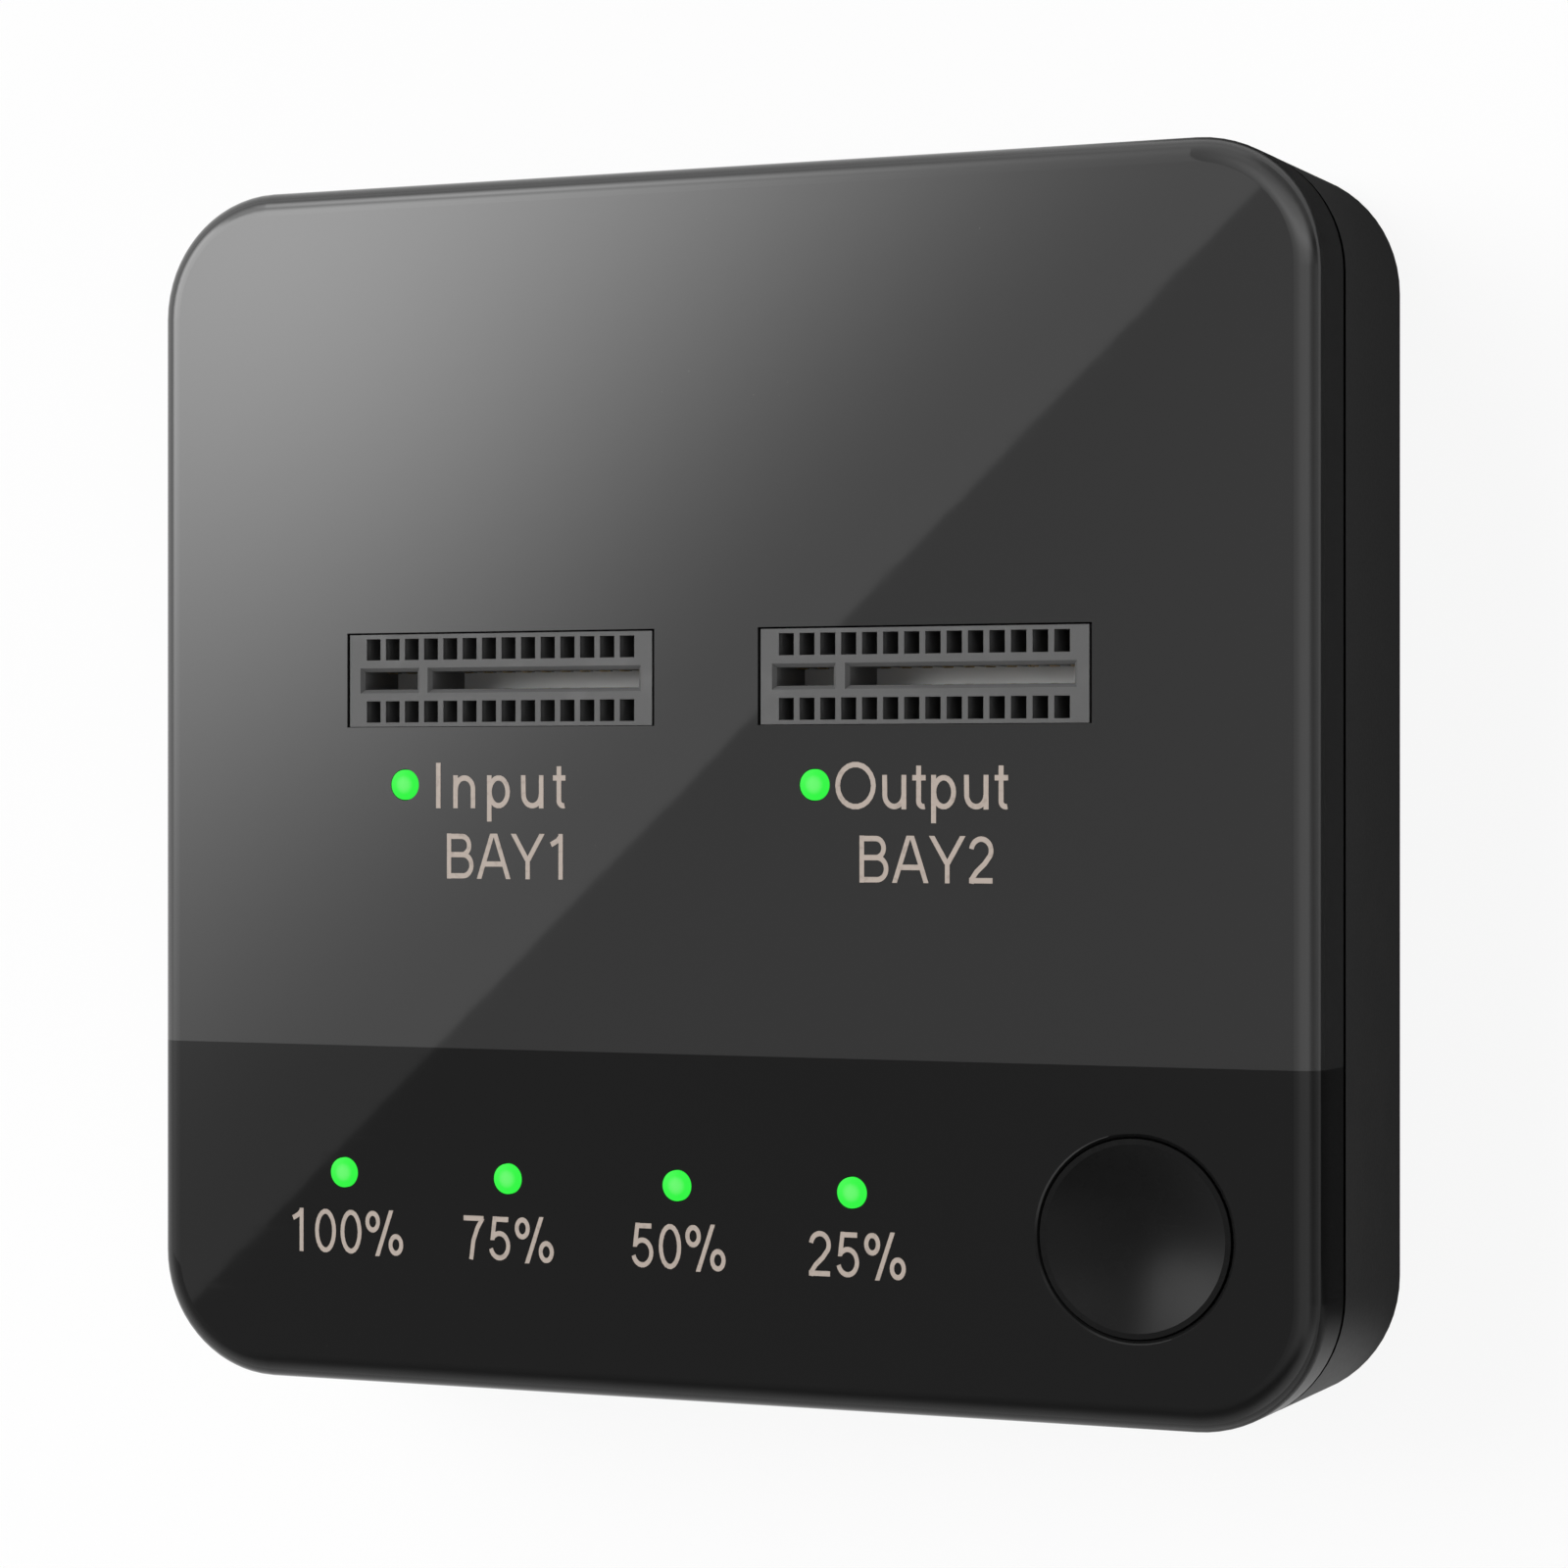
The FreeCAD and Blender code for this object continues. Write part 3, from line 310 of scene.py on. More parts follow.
def grainedPlastic(name, look):
    material, recipe = newFinish(name)
    place = recipe.place()
    harshness = moulding["harshness"]
    grain = recipe.noise(place, look["grainScale"], detail=3.0, roughness=harshness)
    patches = recipe.noise(place, look["patchScale"], detail=4.0, roughness=harshness)
    patches = recipe.rise(patches, moulding["patch"])
    flecks = recipe.specks(place, look["grainScale"] * moulding["fleckScale"], moulding["fleckShare"])
    worn = patches * moulding["patchTint"] + flecks * moulding["fleckTint"]
    colour = recipe.blend(worn, look["colour"], look["wornColour"])
    height = recipe.axes(place)[2]
    upward = recipe.axes(recipe.normal())[2]
    gap = 0.0
    if "gapShadeColour" in look:
        # painted shade: the lip in the narrow gap above the rim is painted black and made metallic, so that
        # no light leaves the gap
        gap = height > look["gapFloor"]
        colour = recipe.blend(gap, colour, look["gapShadeColour"])
    if "paintedFloorLight" in look:
        # painted light: the walls of a slot are painted paler than its rim, and its floor palest of all,
        # paler the deeper it lies, to lift the shade where little light gets into a slot
        depth = faceHeight - height
        wall = (upward.size() < moulding["level"]) * (depth > look["wallFrom"])
        colour = recipe.blend(wall, colour, look["paintedWallLight"])
        floor = (upward > moulding["level"]) * recipe.rise(depth, look["deep"])
        colour = recipe.blend(floor, colour, look["paintedFloorLight"])
    roughness = look["roughness"] - patches * look["wornRoughness"]
    recipe.surface({
        "Base Color": colour,
        # painted shade: the black lip of the gap is also made metallic, so that it keeps no diffuse light
        "Metallic": gap,
        "Roughness": roughness + grain * moulding["grainRoughness"],
        "IOR": look["ior"],
        "Normal": recipe.bump(grain, look["grainHeight"]),
    })
    return material


lensLook = {
    "edgeGlow": (0.03, 0.90, 0.055, 1.0),
    "middleGlow": (0.13, 0.91, 0.15, 1.0),
    "unlitGlow": (0.002, 0.05, 0.005, 1.0),
    "body": (0.002, 0.012, 0.003, 1.0),
    "cloud": (0.004, 0.03, 0.006, 1.0),
    "crown": 0.18 * millimetre,
    "litDepth": 0.4 * millimetre,
    "roughness": 0.4,
    "specular": 0.1,
    "flowScale": 900.0,
    "flowRoughness": 0.08,
    "flowHeight": 0.002 * millimetre,
}


def lensPlastic(name, look):
    # the crown rises towards its middle, so its height gives the pale middle of the light
    material, recipe = newFinish(name)
    place = recipe.place()
    height = recipe.axes(place)[2] - faceHeight
    middle = recipe.rise(height, (look["crown"] / 2, look["crown"]))
    lit = recipe.rise(height, (-look["litDepth"], 0.0))
    glow = recipe.blend(middle, look["edgeGlow"], look["middleGlow"])
    flow = recipe.noise(place, look["flowScale"])
    recipe.surface({
        "Base Color": recipe.blend(flow, look["body"], look["cloud"]),
        "Roughness": look["roughness"] + flow * look["flowRoughness"],
        "Specular IOR Level": look["specular"],
        "Emission Color": recipe.blend(lit, look["unlitGlow"], glow),
        "Emission Strength": 1.0,
        "Normal": recipe.bump(flow, look["flowHeight"]),
    })
    return material


resinLook = {
    "white": grey(0.62),
    "resin": (0.62, 0.7, 0.3, 1.0),
    "cloudScale": 1500.0,
    "cloud": (0.4, 0.6),
    "roughness": 0.25,
    "cloudRoughness": 0.15,
    "cloudHeight": 0.004 * millimetre,
}


def chipResin(name, look):
    # clouds of yellow-green resin over a white block
    material, recipe = newFinish(name)
    place = recipe.place()
    cloud = recipe.noise(place, look["cloudScale"])
    recipe.surface({
        "Base Color": recipe.blend(recipe.rise(cloud, look["cloud"]), look["white"], look["resin"]),
        "Roughness": look["roughness"] + cloud * look["cloudRoughness"],
        "Normal": recipe.bump(cloud, look["cloudHeight"]),
    })
    return material


boardLook = {
    "resist": (0.008, 0.075, 0.024, 1.0),
    "trace": (0.014, 0.125, 0.04, 1.0),
    "laminate": (0.36, 0.34, 0.16, 1.0),
    "tracePitch": 0.9 * millimetre,
    "traceWidth": 0.3,
    "traceHeight": 0.02 * millimetre,
    "laneScale": 130.0,
    "lane": (0.48, 0.52),
    "level": 0.5,  # the sawn edge has a normal that rises less than this
    "clothStretch": (1.0, 1.0, 6.0),
    "clothScale": 2500.0,
    "clothHeight": 0.2,
    "roughness": 0.22,
    "clothRoughness": 0.12,
    "edgeRoughness": 0.4,
}


def solderResist(name, look):
    # copper tracks raise the resist a little; the sawn edge shows the laminate
    material, recipe = newFinish(name)
    place = recipe.place()
    x, y = recipe.axes(place)[:2]
    lanes = recipe.rise(recipe.noise(place, look["laneScale"], detail=0.0), look["lane"])
    rows = (y / look["tracePitch"]).fraction()
    columns = (x / look["tracePitch"]).fraction()
    tracks = (rows < look["traceWidth"]) * lanes + (columns < look["traceWidth"]) * (1.0 - lanes)
    edge = recipe.axes(recipe.normal())[2].size() < look["level"]
    cloth = recipe.noise(recipe.stretched(place, look["clothStretch"]), look["clothScale"], detail=1.0)
    top = recipe.blend(tracks, look["resist"], look["trace"])
    recipe.surface({
        "Base Color": recipe.blend(edge, top, look["laminate"]),
        "Roughness": look["roughness"] + cloth * look["clothRoughness"] + edge * look["edgeRoughness"],
        "Normal": recipe.bump(tracks + cloth * look["clothHeight"], look["traceHeight"]),
    })
    return material


goldLook = {
    "colour": (0.83, 0.58, 0.22, 1.0),
    "worn": (0.55, 0.5, 0.42, 1.0),
    "roughness": 0.2,
    "brushScale": 5400.0,
    "tarnishScale": 360.0,
    "brushStretch": (1.0, 0.06, 1.0),
    "brushHeight": 0.003 * millimetre,
    "brushRoughness": 0.1,
    "tarnish": (0.5, 0.75),
    "tarnishTint": 0.6,
    "tarnishRoughness": 0.18,
}
nickelLook = dict(
    goldLook, colour=grey(0.6, 0.02), worn=grey(0.34, 0.04), roughness=0.26,
    brushScale=4200.0, tarnishScale=280.0,
)
canLook = dict(
    goldLook, colour=grey(0.72), worn=grey(0.5), roughness=0.3, brushScale=3000.0, tarnishScale=200.0,
)


def platedMetal(name, look):
    material, recipe = newFinish(name)
    place = recipe.place()
    brushed = recipe.noise(recipe.stretched(place, look["brushStretch"]), look["brushScale"])
    tarnish = recipe.rise(recipe.noise(place, look["tarnishScale"], detail=3.0), look["tarnish"])
    roughness = look["roughness"] + tarnish * look["tarnishRoughness"]
    recipe.surface({
        "Base Color": recipe.blend(tarnish * look["tarnishTint"], look["colour"], look["worn"]),
        "Metallic": 1.0,
        "Roughness": roughness + brushed * look["brushRoughness"],
        "Normal": recipe.bump(brushed, look["brushHeight"]),
    })
    return material


inkLook = {
    "colour": (0.39, 0.325, 0.28, 1.0),
    "thinColour": (0.30, 0.25, 0.215, 1.0),
    "thin": (0.5, 0.8),
    "thinScale": 2600.0,
    "roughness": 0.42,
    "thinRoughness": 0.2,
    "grainScale": 6000.0,
    "grainHeight": 0.002 * millimetre,
}


def printedInk(name, look):
    # screen ink, a little thinner here and there
    material, recipe = newFinish(name)
    place = recipe.place()
    thin = recipe.rise(recipe.noise(place, look["thinScale"], detail=3.0), look["thin"])
    recipe.surface({
        "Base Color": recipe.blend(thin, look["colour"], look["thinColour"]),
        "Roughness": look["roughness"] + thin * look["thinRoughness"],
        "Normal": recipe.bump(recipe.noise(place, look["grainScale"], detail=1.0), look["grainHeight"]),
    })
    return material


finishes = {
    "cover_plastic": glossyPlastic("coverPlastic", coverLook),
    "panel_plastic": glossyPlastic("panelPlastic", panelLook),
    "button_plastic": glossyPlastic("buttonPlastic", buttonLook),
    "base_plastic": grainedPlastic("shellPlastic", shellLook),
    "socket_plastic": grainedPlastic("socketPlastic", socketLook),
    "inner_plastic": grainedPlastic("innerPlastic", innerLook),
    "light_pipe": lensPlastic("lensPlastic", lensLook),
    "light_chip": chipResin("chipResin", resinLook),
    "circuit_board": solderResist("solderResist", boardLook),
    "contact_metal": platedMetal("goldPlate", goldLook),
    "steel": platedMetal("nickelPlate", nickelLook),
    "aluminium": platedMetal("canAluminium", canLook),
    "foot_rubber": grainedPlastic("footRubber", rubberLook),
    "chip_body": grainedPlastic("chipEpoxy", chipLook),
    "ceramic": grainedPlastic("firedCeramic", ceramicLook),
}
ink = printedInk("labelInk", inkLook)

for part in frame["record"]["subparts"]:
    skin = frame["nodes"][part["node"]].data
    skin.materials.clear()
    skin.materials.append(finishes[part["material_slot"]])
print("finishes given to the nodes:", len(finishes))


def asObject(name, solid):
    mesh = bpy.data.meshes.new(name)
    solid.to_mesh(mesh)
    solid.free()
    holder = bpy.data.objects.new(name, mesh)
    bpy.context.scene.collection.objects.link(holder)
    return holder


# Words and scale figures printed on the face in plain even strokes. Each has its middle, its baseline
# and its capital height in millimetres, its narrowing, and the gap added after each letter
lettering = {
    "stroke": 0.115,  # of the capital height
    "curveSteps": 22,
    "raised": 0.014 * millimetre,
    "layer": 0.0012 * millimetre,
    "sunk": 0.005 * millimetre,
    "weld": 0.0005 * millimetre,
    "words": (
        ("Input", -14.95, -1.55, 3.0, 0.95, 0.1),
        ("BAY1", -14.25, -6.2, 2.98, 0.9, 0.0),
        ("Output", 14.85, -1.55, 3.0, 0.95, 0.0),
        ("BAY2", 15.2, -6.2, 2.98, 0.9, 0.0),
        ("100%", -26.35, -31.3, 2.9, 0.86, 0.0),
        ("75%", -14.25, -31.3, 2.9, 0.86, 0.0),
        ("50%", -1.95, -31.3, 2.9, 0.86, 0.0),
        ("25%", 10.5, -31.3, 2.9, 0.86, 0.0),
    ),
}


def arc(x, y, wide, high, first, last):
    # points along an ellipse, angles in degrees
    steps = lettering["curveSteps"]
    angles = [math.radians(first + (last - first) * step / steps) for step in range(steps + 1)]
    return [(x + wide * math.cos(angle), y + high * math.sin(angle)) for angle in angles]


# each letter: its width and its strokes, on a capital height of one
letters = {
    "I": (0.388, [[(0.194, 0), (0.194, 1)]]),
    "n": (0.777, [[(0.155, 0), (0.155, 0.725)], arc(0.385, 0.42, 0.225, 0.245, 180, 0) + [(0.61, 0)]]),
    "p": (0.777, [[(0.155, -0.29), (0.155, 0.725)], arc(0.395, 0.3625, 0.235, 0.305, 0, 360)]),
    "u": (0.777, [
        [(0.155, 0.725)] + arc(0.385, 0.305, 0.225, 0.245, 180, 360),
        [(0.615, 0), (0.615, 0.725)],
    ]),
    "t": (0.388, [
        [(0.19, 0.92), (0.19, 0.18)] + arc(0.305, 0.17, 0.115, 0.11, 190, 285),
        [(0.04, 0.665), (0.355, 0.665)],
    ]),
    "O": (1.086, [arc(0.543, 0.5, 0.43, 0.4475, 0, 360)]),
    "B": (0.931, [
        [(0.165, 0), (0.165, 1)],
        [(0.165, 0.9375)] + arc(0.52, 0.735, 0.2, 0.2025, 90, -90) + [(0.165, 0.5325)],
        [(0.165, 0.5325)] + arc(0.55, 0.2975, 0.235, 0.235, 90, -90) + [(0.165, 0.0625)],
    ]),
    "A": (0.931, [[(0.065, 0), (0.43, 1)], [(0.866, 0), (0.501, 1)], [(0.2, 0.33), (0.731, 0.33)]]),
    "Y": (0.931, [[(0.075, 1), (0.4655, 0.4)], [(0.856, 1), (0.4655, 0.4)], [(0.4655, 0), (0.4655, 0.46)]]),
    "0": (0.777, [arc(0.3885, 0.5, 0.262, 0.4475, 0, 360)]),
    "1": (0.777, [[(0.43, 0), (0.43, 1)], [(0.44, 0.95), (0.34, 0.85), (0.17, 0.765)]]),
    "2": (0.777, [
        arc(0.385, 0.695, 0.245, 0.2425, 172, -28) + [(0.47, 0.42), (0.27, 0.25), (0.155, 0.1), (0.14, 0)],
        [(0.085, 0.0625), (0.665, 0.0625)],
    ]),
    "5": (0.777, [
        [(0.205, 0.9375), (0.635, 0.9375)],
        [(0.165, 0.46), (0.24, 1.0)],
        arc(0.375, 0.34, 0.258, 0.2775, 142, -165),
    ]),
    "7": (0.777, [
        [(0.09, 0.9375), (0.68, 0.9375)],
        [(0.655, 0.95), (0.5, 0.72), (0.38, 0.43), (0.315, 0.0)],
    ]),
    "%": (1.242, [
        arc(0.27, 0.755, 0.162, 0.1925, 0, 360),
        arc(0.972, 0.245, 0.162, 0.1925, 0, 360),
        [(0.41, -0.03), (0.83, 1.03)],
    ]),
}


def strokeSides(points):
    # both sides of a stroke; a straight upright or slanting stroke ends level, as drawn letters do
    half = lettering["stroke"] / 2
    if len(points) == 2 and points[0][1] != points[1][1]:
        (x0, y0), (x1, y1) = points
        reach = half * math.hypot(1, (x1 - x0) / (y1 - y0))
        return [(x0 - reach, y0), (x1 - reach, y1)], [(x0 + reach, y0), (x1 + reach, y1)]
    lefts = []
    rights = []
    last = len(points) - 1
    closed = math.dist(points[0], points[-1]) < half / 10
    for index, (x, y) in enumerate(points):
        before = points[index - 1] if index else (points[last - 1] if closed else points[0])
        after = points[index + 1] if index < last else (points[1] if closed else points[last])
        along = Vector((after[0] - before[0], after[1] - before[1])).normalized()
        lefts.append((x - along.y * half, y + along.x * half))
        rights.append((x + along.y * half, y - along.x * half))
    return lefts, rights


def printWord(words, middle, baseline, height, squeeze, gap):
    solid = bmesh.new()
    width = sum(letters[letter][0] + gap for letter in words) - gap
    centre = middle * millimetre
    foot = baseline * millimetre
    tall = height * millimetre
    wide = tall * squeeze
    low = faceHeight - lettering["sunk"]
    start = -width / 2
    for letter in words:
        for layer, points in enumerate(letters[letter][1]):
            # strokes that cross lie on each other
            high = faceHeight + lettering["raised"] + layer * lettering["layer"]
            rows = []
            for side in strokeSides(points):
                places = [(centre + (start + x) * wide, foot + y * tall) for x, y in side]
                rows.append([solid.verts.new((x, y, high)) for x, y in places])
                rows.append([solid.verts.new((x, y, low)) for x, y in places])
            loops = (rows[0], rows[2], rows[3], rows[1])
            for first, second in zip(loops, loops[1:] + loops[:1]):
                for index in range(len(first) - 1):
                    solid.faces.new((first[index], first[index + 1], second[index + 1], second[index]))
            solid.faces.new([row[0] for row in loops])
            solid.faces.new([row[-1] for row in reversed(loops)])
        start += letters[letter][0] + gap
    bmesh.ops.remove_doubles(solid, verts=solid.verts, dist=lettering["weld"])
    bmesh.ops.recalc_face_normals(solid, faces=solid.faces)
    piece = asObject("label_" + words.replace("%", "").lower(), solid)
    piece.data.materials.append(ink)
    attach(piece, "housing")


for word in lettering["words"]:
    printWord(*word)
print("words printed:", len(lettering["words"]))


# Case screws: the rounded heads with their cross recesses, seen from below. Lengths are in millimetres,
# heights are measured from the face of the head, and turns are in radians
screwHead = {
    "headRadius": 2.4,
    "headHeight": 1.5,
    "shankRadius": 1.05,
    "face": (1.75, 0.0),
    "faceEdge": (1.95, 0.03),
    "crownEdge": (2.18, 0.32),
    "rimHeight": 1.25,
    "slotWidth": 0.72,
    "slotReach": 1.35,
    "slotDepth": 0.95,
    "slotFloor": 0.6,
    "slotCorner": 1.25,
    "cutProud": 0.1,
    "turn": 0.35,
    "turnStep": 0.6,
    "sides": 40,
}


def latheAbout(rings, sides, x, y):
    # rings of (radius, height), from the face of the head to the tip
    solid = bmesh.new()
    loops = []
    for radius, height in rings:
        ring = []
        for side in range(sides):
            angle = 2 * math.pi * side / sides
            across, along = radius * math.cos(angle), radius * math.sin(angle)
            ring.append(solid.verts.new((x + across, y + along, height)))
        loops.append(ring)
    for lower, upper in zip(loops, loops[1:]):
        for side in range(sides):
            after = (side + 1) % sides
            solid.faces.new((lower[side], lower[after], upper[after], upper[side]))
    solid.faces.new(list(reversed(loops[0])))
    solid.faces.new(loops[-1])
    bmesh.ops.recalc_face_normals(solid, faces=solid.faces)
    return solid


def crossCutter(x, y, low, turn):
    # a four-pointed star that narrows towards its bottom
    solid = bmesh.new()
    half = screwHead["slotWidth"] / 2 * millimetre
    reach = screwHead["slotReach"] * millimetre
    corner = half * screwHead["slotCorner"]
    outline = []
    for quarter in range(4):
        angle = turn + math.pi / 2 * quarter
        ahead = Vector((math.cos(angle), math.sin(angle)))
        aside = Vector((-math.sin(angle), math.cos(angle)))
        outline.append(ahead * reach - aside * half)
        outline.append(ahead * reach + aside * half)
        outline.append((ahead + aside) * corner)
    mouth = low - screwHead["cutProud"] * millimetre
    bottom = low + screwHead["slotDepth"] * millimetre
    rings = []
    for height, narrow in ((mouth, 1.0), (bottom, screwHead["slotFloor"])):
        places = [(x + point.x * narrow, y + point.y * narrow, height) for point in outline]
        rings.append([solid.verts.new(place) for place in places])
    count = len(outline)
    for index in range(count):
        after = (index + 1) % count
        solid.faces.new((rings[0][index], rings[0][after], rings[1][after], rings[1][index]))
    solid.faces.new(list(reversed(rings[0])))
    solid.faces.new(rings[1])
    bmesh.ops.triangulate(solid, faces=solid.faces)
    bmesh.ops.recalc_face_normals(solid, faces=solid.faces)
    return solid


def cutBy(body, cutter):
    cut = body.modifiers.new("cut", "BOOLEAN")
    cut.operation = "DIFFERENCE"
    cut.solver = "EXACT"
    cut.object = cutter
    bpy.context.view_layer.update()
    seen = body.evaluated_get(bpy.context.evaluated_depsgraph_get())
    mesh = bpy.data.meshes.new_from_object(seen)
    bpy.data.objects.remove(cutter)
    bpy.data.objects.remove(body)
    return mesh


def crossScrews(node):
    low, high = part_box(node)
    inset = screwHead["headRadius"] * millimetre
    outline = (
        screwHead["face"],
        screwHead["faceEdge"],
        screwHead["crownEdge"],
        (screwHead["headRadius"], screwHead["rimHeight"]),
        (screwHead["headRadius"], screwHead["headHeight"]),
        (screwHead["shankRadius"], screwHead["headHeight"]),
    )
    rings = [(radius * millimetre, low.z + height * millimetre) for radius, height in outline]
    rings.append((screwHead["shankRadius"] * millimetre, high.z))
    screwSet = bmesh.new()
    spots = [(x, y) for x in (low.x + inset, high.x - inset) for y in (low.y + inset, high.y - inset)]
    for index, (x, y) in enumerate(spots):
        turn = screwHead["turn"] + screwHead["turnStep"] * index
        body = asObject("screwBody", latheAbout(rings, screwHead["sides"], x, y))
        cutter = asObject("screwCutter", crossCutter(x, y, low.z, turn))
        mesh = cutBy(body, cutter)
        screwSet.from_mesh(mesh)
        bpy.data.meshes.remove(mesh)
    piece = asObject("case_screw_set", screwSet)
    piece.data.materials.append(finishes["steel"])
    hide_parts(node)
    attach(piece, "housing")


crossScrews("case_screws")
print("case screws cut")


# Studio: a white floor and a pale room, with a soft box up at the left
def stagePiece(name, solid, material):
    piece = asObject(name, solid)
    piece.data.materials.append(material)
    return piece


floorLook = {"radius": 6.0, "sides": 96, "colour": grey(0.85), "shine": 0.9}


def layFloor():
    # white where it is seen or mirrored, and it keeps the shadow of the dock; from below it is clear
    material, recipe = newFinish("floorPaint")
    path = recipe.add("LightPath", {}, {})
    seen = path.out("Is Camera Ray").most(path.out("Is Glossy Ray")).most(path.out("Is Transmission Ray"))
    paint = recipe.add("BsdfDiffuse", {}, {"Color": floorLook["colour"]})
    white = recipe.add("Emission", {}, {"Color": grey(1.0), "Strength": 1.0})
    both = recipe.add("MixShader", {}, {0: seen * floorLook["shine"], 1: paint, 2: white})
    clear = recipe.add("BsdfTransparent", {}, {})
    under = recipe.add("NewGeometry", {}, {}, "Backfacing")
    sided = recipe.add("MixShader", {}, {0: under, 1: both, 2: clear})
    recipe.add("OutputMaterial", {}, {"Surface": sided})
    solid = bmesh.new()
    bmesh.ops.create_circle(solid, cap_ends=True, segments=floorLook["sides"], radius=floorLook["radius"])
    stagePiece("floor", solid, material)


layFloor()

# The light of the room depends on the direction that a ray takes: x to the right, y to the rear, z up.
# A pair holds the two values of such a number between which a light comes up or goes down, and a
# brightness of 1 is white
roomLook = {
    "ceiling": 0.26,
    "walls": 1.0,
    "wallRange": (0.0, 1.0),
    "frontEdge": (-0.55, -0.15),
    "frontHeight": (0.4, 0.8),
    "frontCeiling": 0.8,
    "frontWalls": 0.6,
    "cornerRange": (0.05, 0.35),
    "corner": 0.8,
    "frontCorner": 0.6,
}


def roomLight(recipe, x, y, z):
    # pale walls under a darker ceiling, dark above the front, and at the right darker in the rear corner
    # and brighter in the front one
    front = recipe.fall(y, roomLook["frontEdge"]) * recipe.rise(z, roomLook["frontHeight"])
    walls = recipe.fall(z, roomLook["wallRange"]) * roomLook["walls"]
    walls = walls * (1.0 - front * roomLook["frontWalls"])
    beside = x.most(0.0) * y
    walls = walls * (1.0 - recipe.rise(beside, roomLook["cornerRange"]) * roomLook["corner"])
    walls = walls * (1.0 + recipe.rise(0.0 - beside, roomLook["cornerRange"]) * roomLook["frontCorner"])
    return roomLook["ceiling"] * (1.0 - front * roomLook["frontCeiling"]) + walls


# small lamps at the right and the rear, which only show in glossy edges and in the dish of the button
rimLamps = {
    "right": 0.9,
    "rightStart": (-0.4, 0.4),
    "rightEnd": (0.65, 0.95),
    "rightDrop": 1.6,
    "rightSides": (0.25, 0.55),
    "rear": 1.3,
    "rearLeft": (-0.4, 0.05),
    "rearStart": (0.1, 0.35),
    "rearEnd": (0.5, 0.8),
    "rearDrop": 0.6,
    "rearHeight": (0.2, 0.6),
}


def rimLight(recipe, x, y, z):
    right = recipe.rise(x, rimLamps["rightStart"])
    right = right * (1.0 - recipe.rise(x, rimLamps["rightEnd"]) * rimLamps["rightDrop"])
    right = right * recipe.fall(y.size(), rimLamps["rightSides"])
    rear = recipe.rise(x, rimLamps["rearLeft"]) * recipe.rise(y, rimLamps["rearStart"])
    rear = rear * (1.0 - recipe.rise(y, rimLamps["rearEnd"]) * rimLamps["rearDrop"])
    rear = rear * recipe.rise(z, rimLamps["rearHeight"])
    return right * rimLamps["right"] + rear * rimLamps["rear"]


# The soft box is laid out by the sheen that it makes on the face, in millimetres
softBox = {
    "viewer": (113.7, 253.0),  # right of the middle of the face, and above the face
    "corner": (37.4, 36.8),  # where the straight edge of the sheen starts, to the right and the rear
    "turn": 223.57,  # the way that this edge runs, in degrees
    "edge": 0.66,
    "growth": 6.7,
    "growRange": (2.0, 52.0),
    "leftmost": -0.52,
    "rearmost": 0.14,
    "fade": 0.5,
    "fadeRange": (45.0, 95.0),
    "lowRange": (0.2, 0.6),
    "between": 0.6,
    "betweenSides": (0.1, 0.33),
    "betweenHeight": (0.6, 0.8),
}


def softBoxLight(recipe, x, y, z):
    # its light grows away from its straight edge; past the face's outline it goes on evenly, and it
    # fades near the floor
    across = x.most(softBox["leftmost"])
    along = y.least(softBox["rearmost"])
    upward = (1.0 - across * across - along * along).root()
    away, high = softBox["viewer"]
    right = across / upward * high + (away - softBox["corner"][0])
    rear = along / upward * high - softBox["corner"][1]
    turn = math.radians(softBox["turn"])
    depth = right * math.sin(turn) - rear * math.cos(turn)
    reach = right * math.cos(turn) + rear * math.sin(turn)
    growth = recipe.rise(depth, softBox["growRange"]) * softBox["growth"]
    fade = recipe.rise(reach, softBox["fadeRange"]) * softBox["fade"]
    light = softBox["edge"] + growth * (1.0 - fade)
    # low down it is dimmer between the left and the rear
    between = recipe.fall((x + y).size(), softBox["betweenSides"])
    between = between * recipe.fall(z, softBox["betweenHeight"])
    light = light * (1.0 - between * softBox["between"])
    return light * (depth > 0.0) * recipe.rise(z, softBox["lowRange"])


def lightRoom():
    world = bpy.data.worlds.new("room")
    bpy.context.scene.world = world
    world.use_nodes = True
    recipe = Recipe(world.node_tree)
    x, y, z = recipe.axes(recipe.add("TexCoord", {}, {}, "Generated"))
    path = recipe.add("LightPath", {}, {})
    light = roomLight(recipe, x, y, z) + softBoxLight(recipe, x, y, z)
    light = light + rimLight(recipe, x, y, z) * path.out("Is Glossy Ray")
    tone = recipe.blend(path.out("Is Camera Ray"), light, grey(1.0))
    shine = recipe.add("Background", {}, {"Color": tone, "Strength": 1.0})
    recipe.add("OutputWorld", {}, {"Surface": shine})


lightRoom()

# A dark card on the floor, in millimetres, keeps the right wall dark, less so at its front corner.
# Its rims are soft, and it leaves out the ground under the case, rounded as the case is
darkCard = {
    "low": (10.0, -75.0),
    "high": (130.0, 75.0),
    "soft": 18.0,
    "caseMiddle": (31.9, 31.0),
    "caseRound": 8.6,
    "height": 0.2,
    "light": 0.022,
    "frontLight": 0.35,
    "darkRange": (-42.0, -34.0),
}


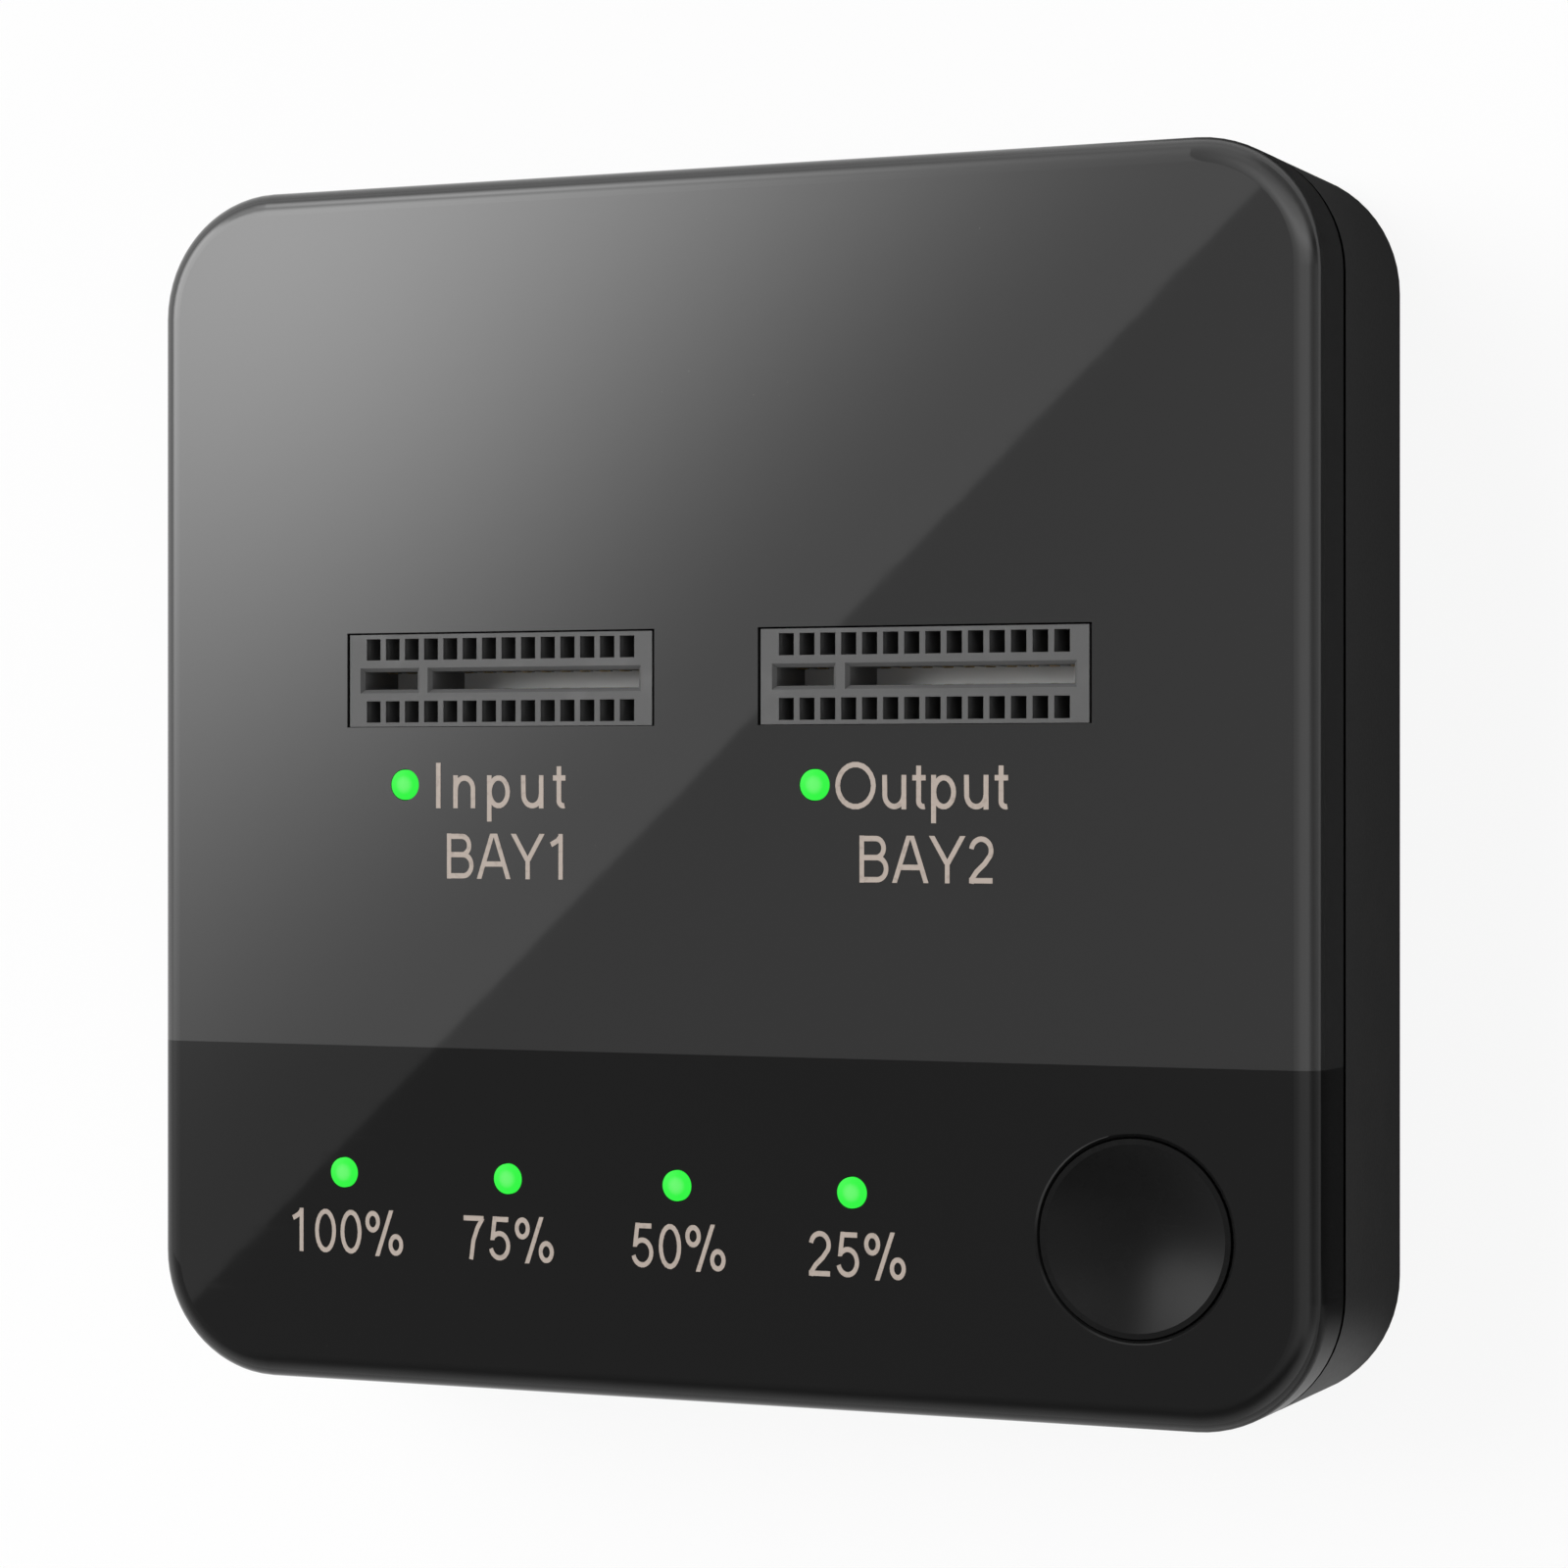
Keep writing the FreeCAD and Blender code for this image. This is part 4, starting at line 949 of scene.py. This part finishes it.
def layDarkCard():
    # it is clear from below, and the camera doesn't see it, so the floor stays white
    material, recipe = newFinish("darkCloth")
    place = recipe.stretched(recipe.place(), (1 / millimetre, 1 / millimetre, 1.0))
    x, y = recipe.axes(place)[:2]
    left, front = darkCard["low"]
    right, rear = darkCard["high"]
    soft = darkCard["soft"]
    shade = recipe.rise(x, (left, left + soft)) * recipe.fall(x, (right - soft, right))
    shade = shade * recipe.rise(y, (front, front + soft)) * recipe.fall(y, (rear - soft, rear))
    beside = (x.size() - darkCard["caseMiddle"][0]).most(0.0)
    before = (y.size() - darkCard["caseMiddle"][1]).most(0.0)
    shade = shade * ((beside * beside + before * before).root() > darkCard["caseRound"])
    dark = recipe.rise(y, darkCard["darkRange"])
    glow = recipe.blend(dark, grey(darkCard["frontLight"]), grey(darkCard["light"]))
    cloth = recipe.add("Emission", {}, {"Color": glow, "Strength": 1.0})
    clear = recipe.add("BsdfTransparent", {}, {})
    under = recipe.add("NewGeometry", {}, {}, "Backfacing")
    both = recipe.add("MixShader", {}, {0: shade * (1.0 - under), 1: clear, 2: cloth})
    recipe.add("OutputMaterial", {}, {"Surface": both})
    solid = bmesh.new()
    corners = ((left, front), (right, front), (right, rear), (left, rear))
    places = [Vector((*corner, darkCard["height"])) * millimetre for corner in corners]
    solid.faces.new([solid.verts.new(place) for place in places])
    card = stagePiece("dark_card", solid, material)
    card.visible_camera = False
    card.visible_shadow = False


layDarkCard()
print("studio set")


# Camera: where the photograph was taken from. Its focal length is given in pixels of the frame
cameraLook = {
    "place": (0.1137, 0.00005, 0.27267),
    "turn": 23.16,
    "pixels": 4393.0,
    "frame": 1600.0,
    "sensor": 36.0,
    "nearest": 0.01,
}


def setCamera():
    lens = bpy.data.cameras.new("viewer")
    lens.sensor_width = cameraLook["sensor"]
    lens.lens = cameraLook["pixels"] / cameraLook["frame"] * cameraLook["sensor"]
    lens.clip_start = cameraLook["nearest"]
    camera = bpy.data.objects.new("viewer", lens)
    camera.location = cameraLook["place"]
    camera.rotation_euler = (0.0, math.radians(cameraLook["turn"]), 0.0)
    bpy.context.scene.collection.objects.link(camera)
    bpy.context.scene.camera = camera


setCamera()
bpy.context.scene.view_settings.view_transform = "Standard"
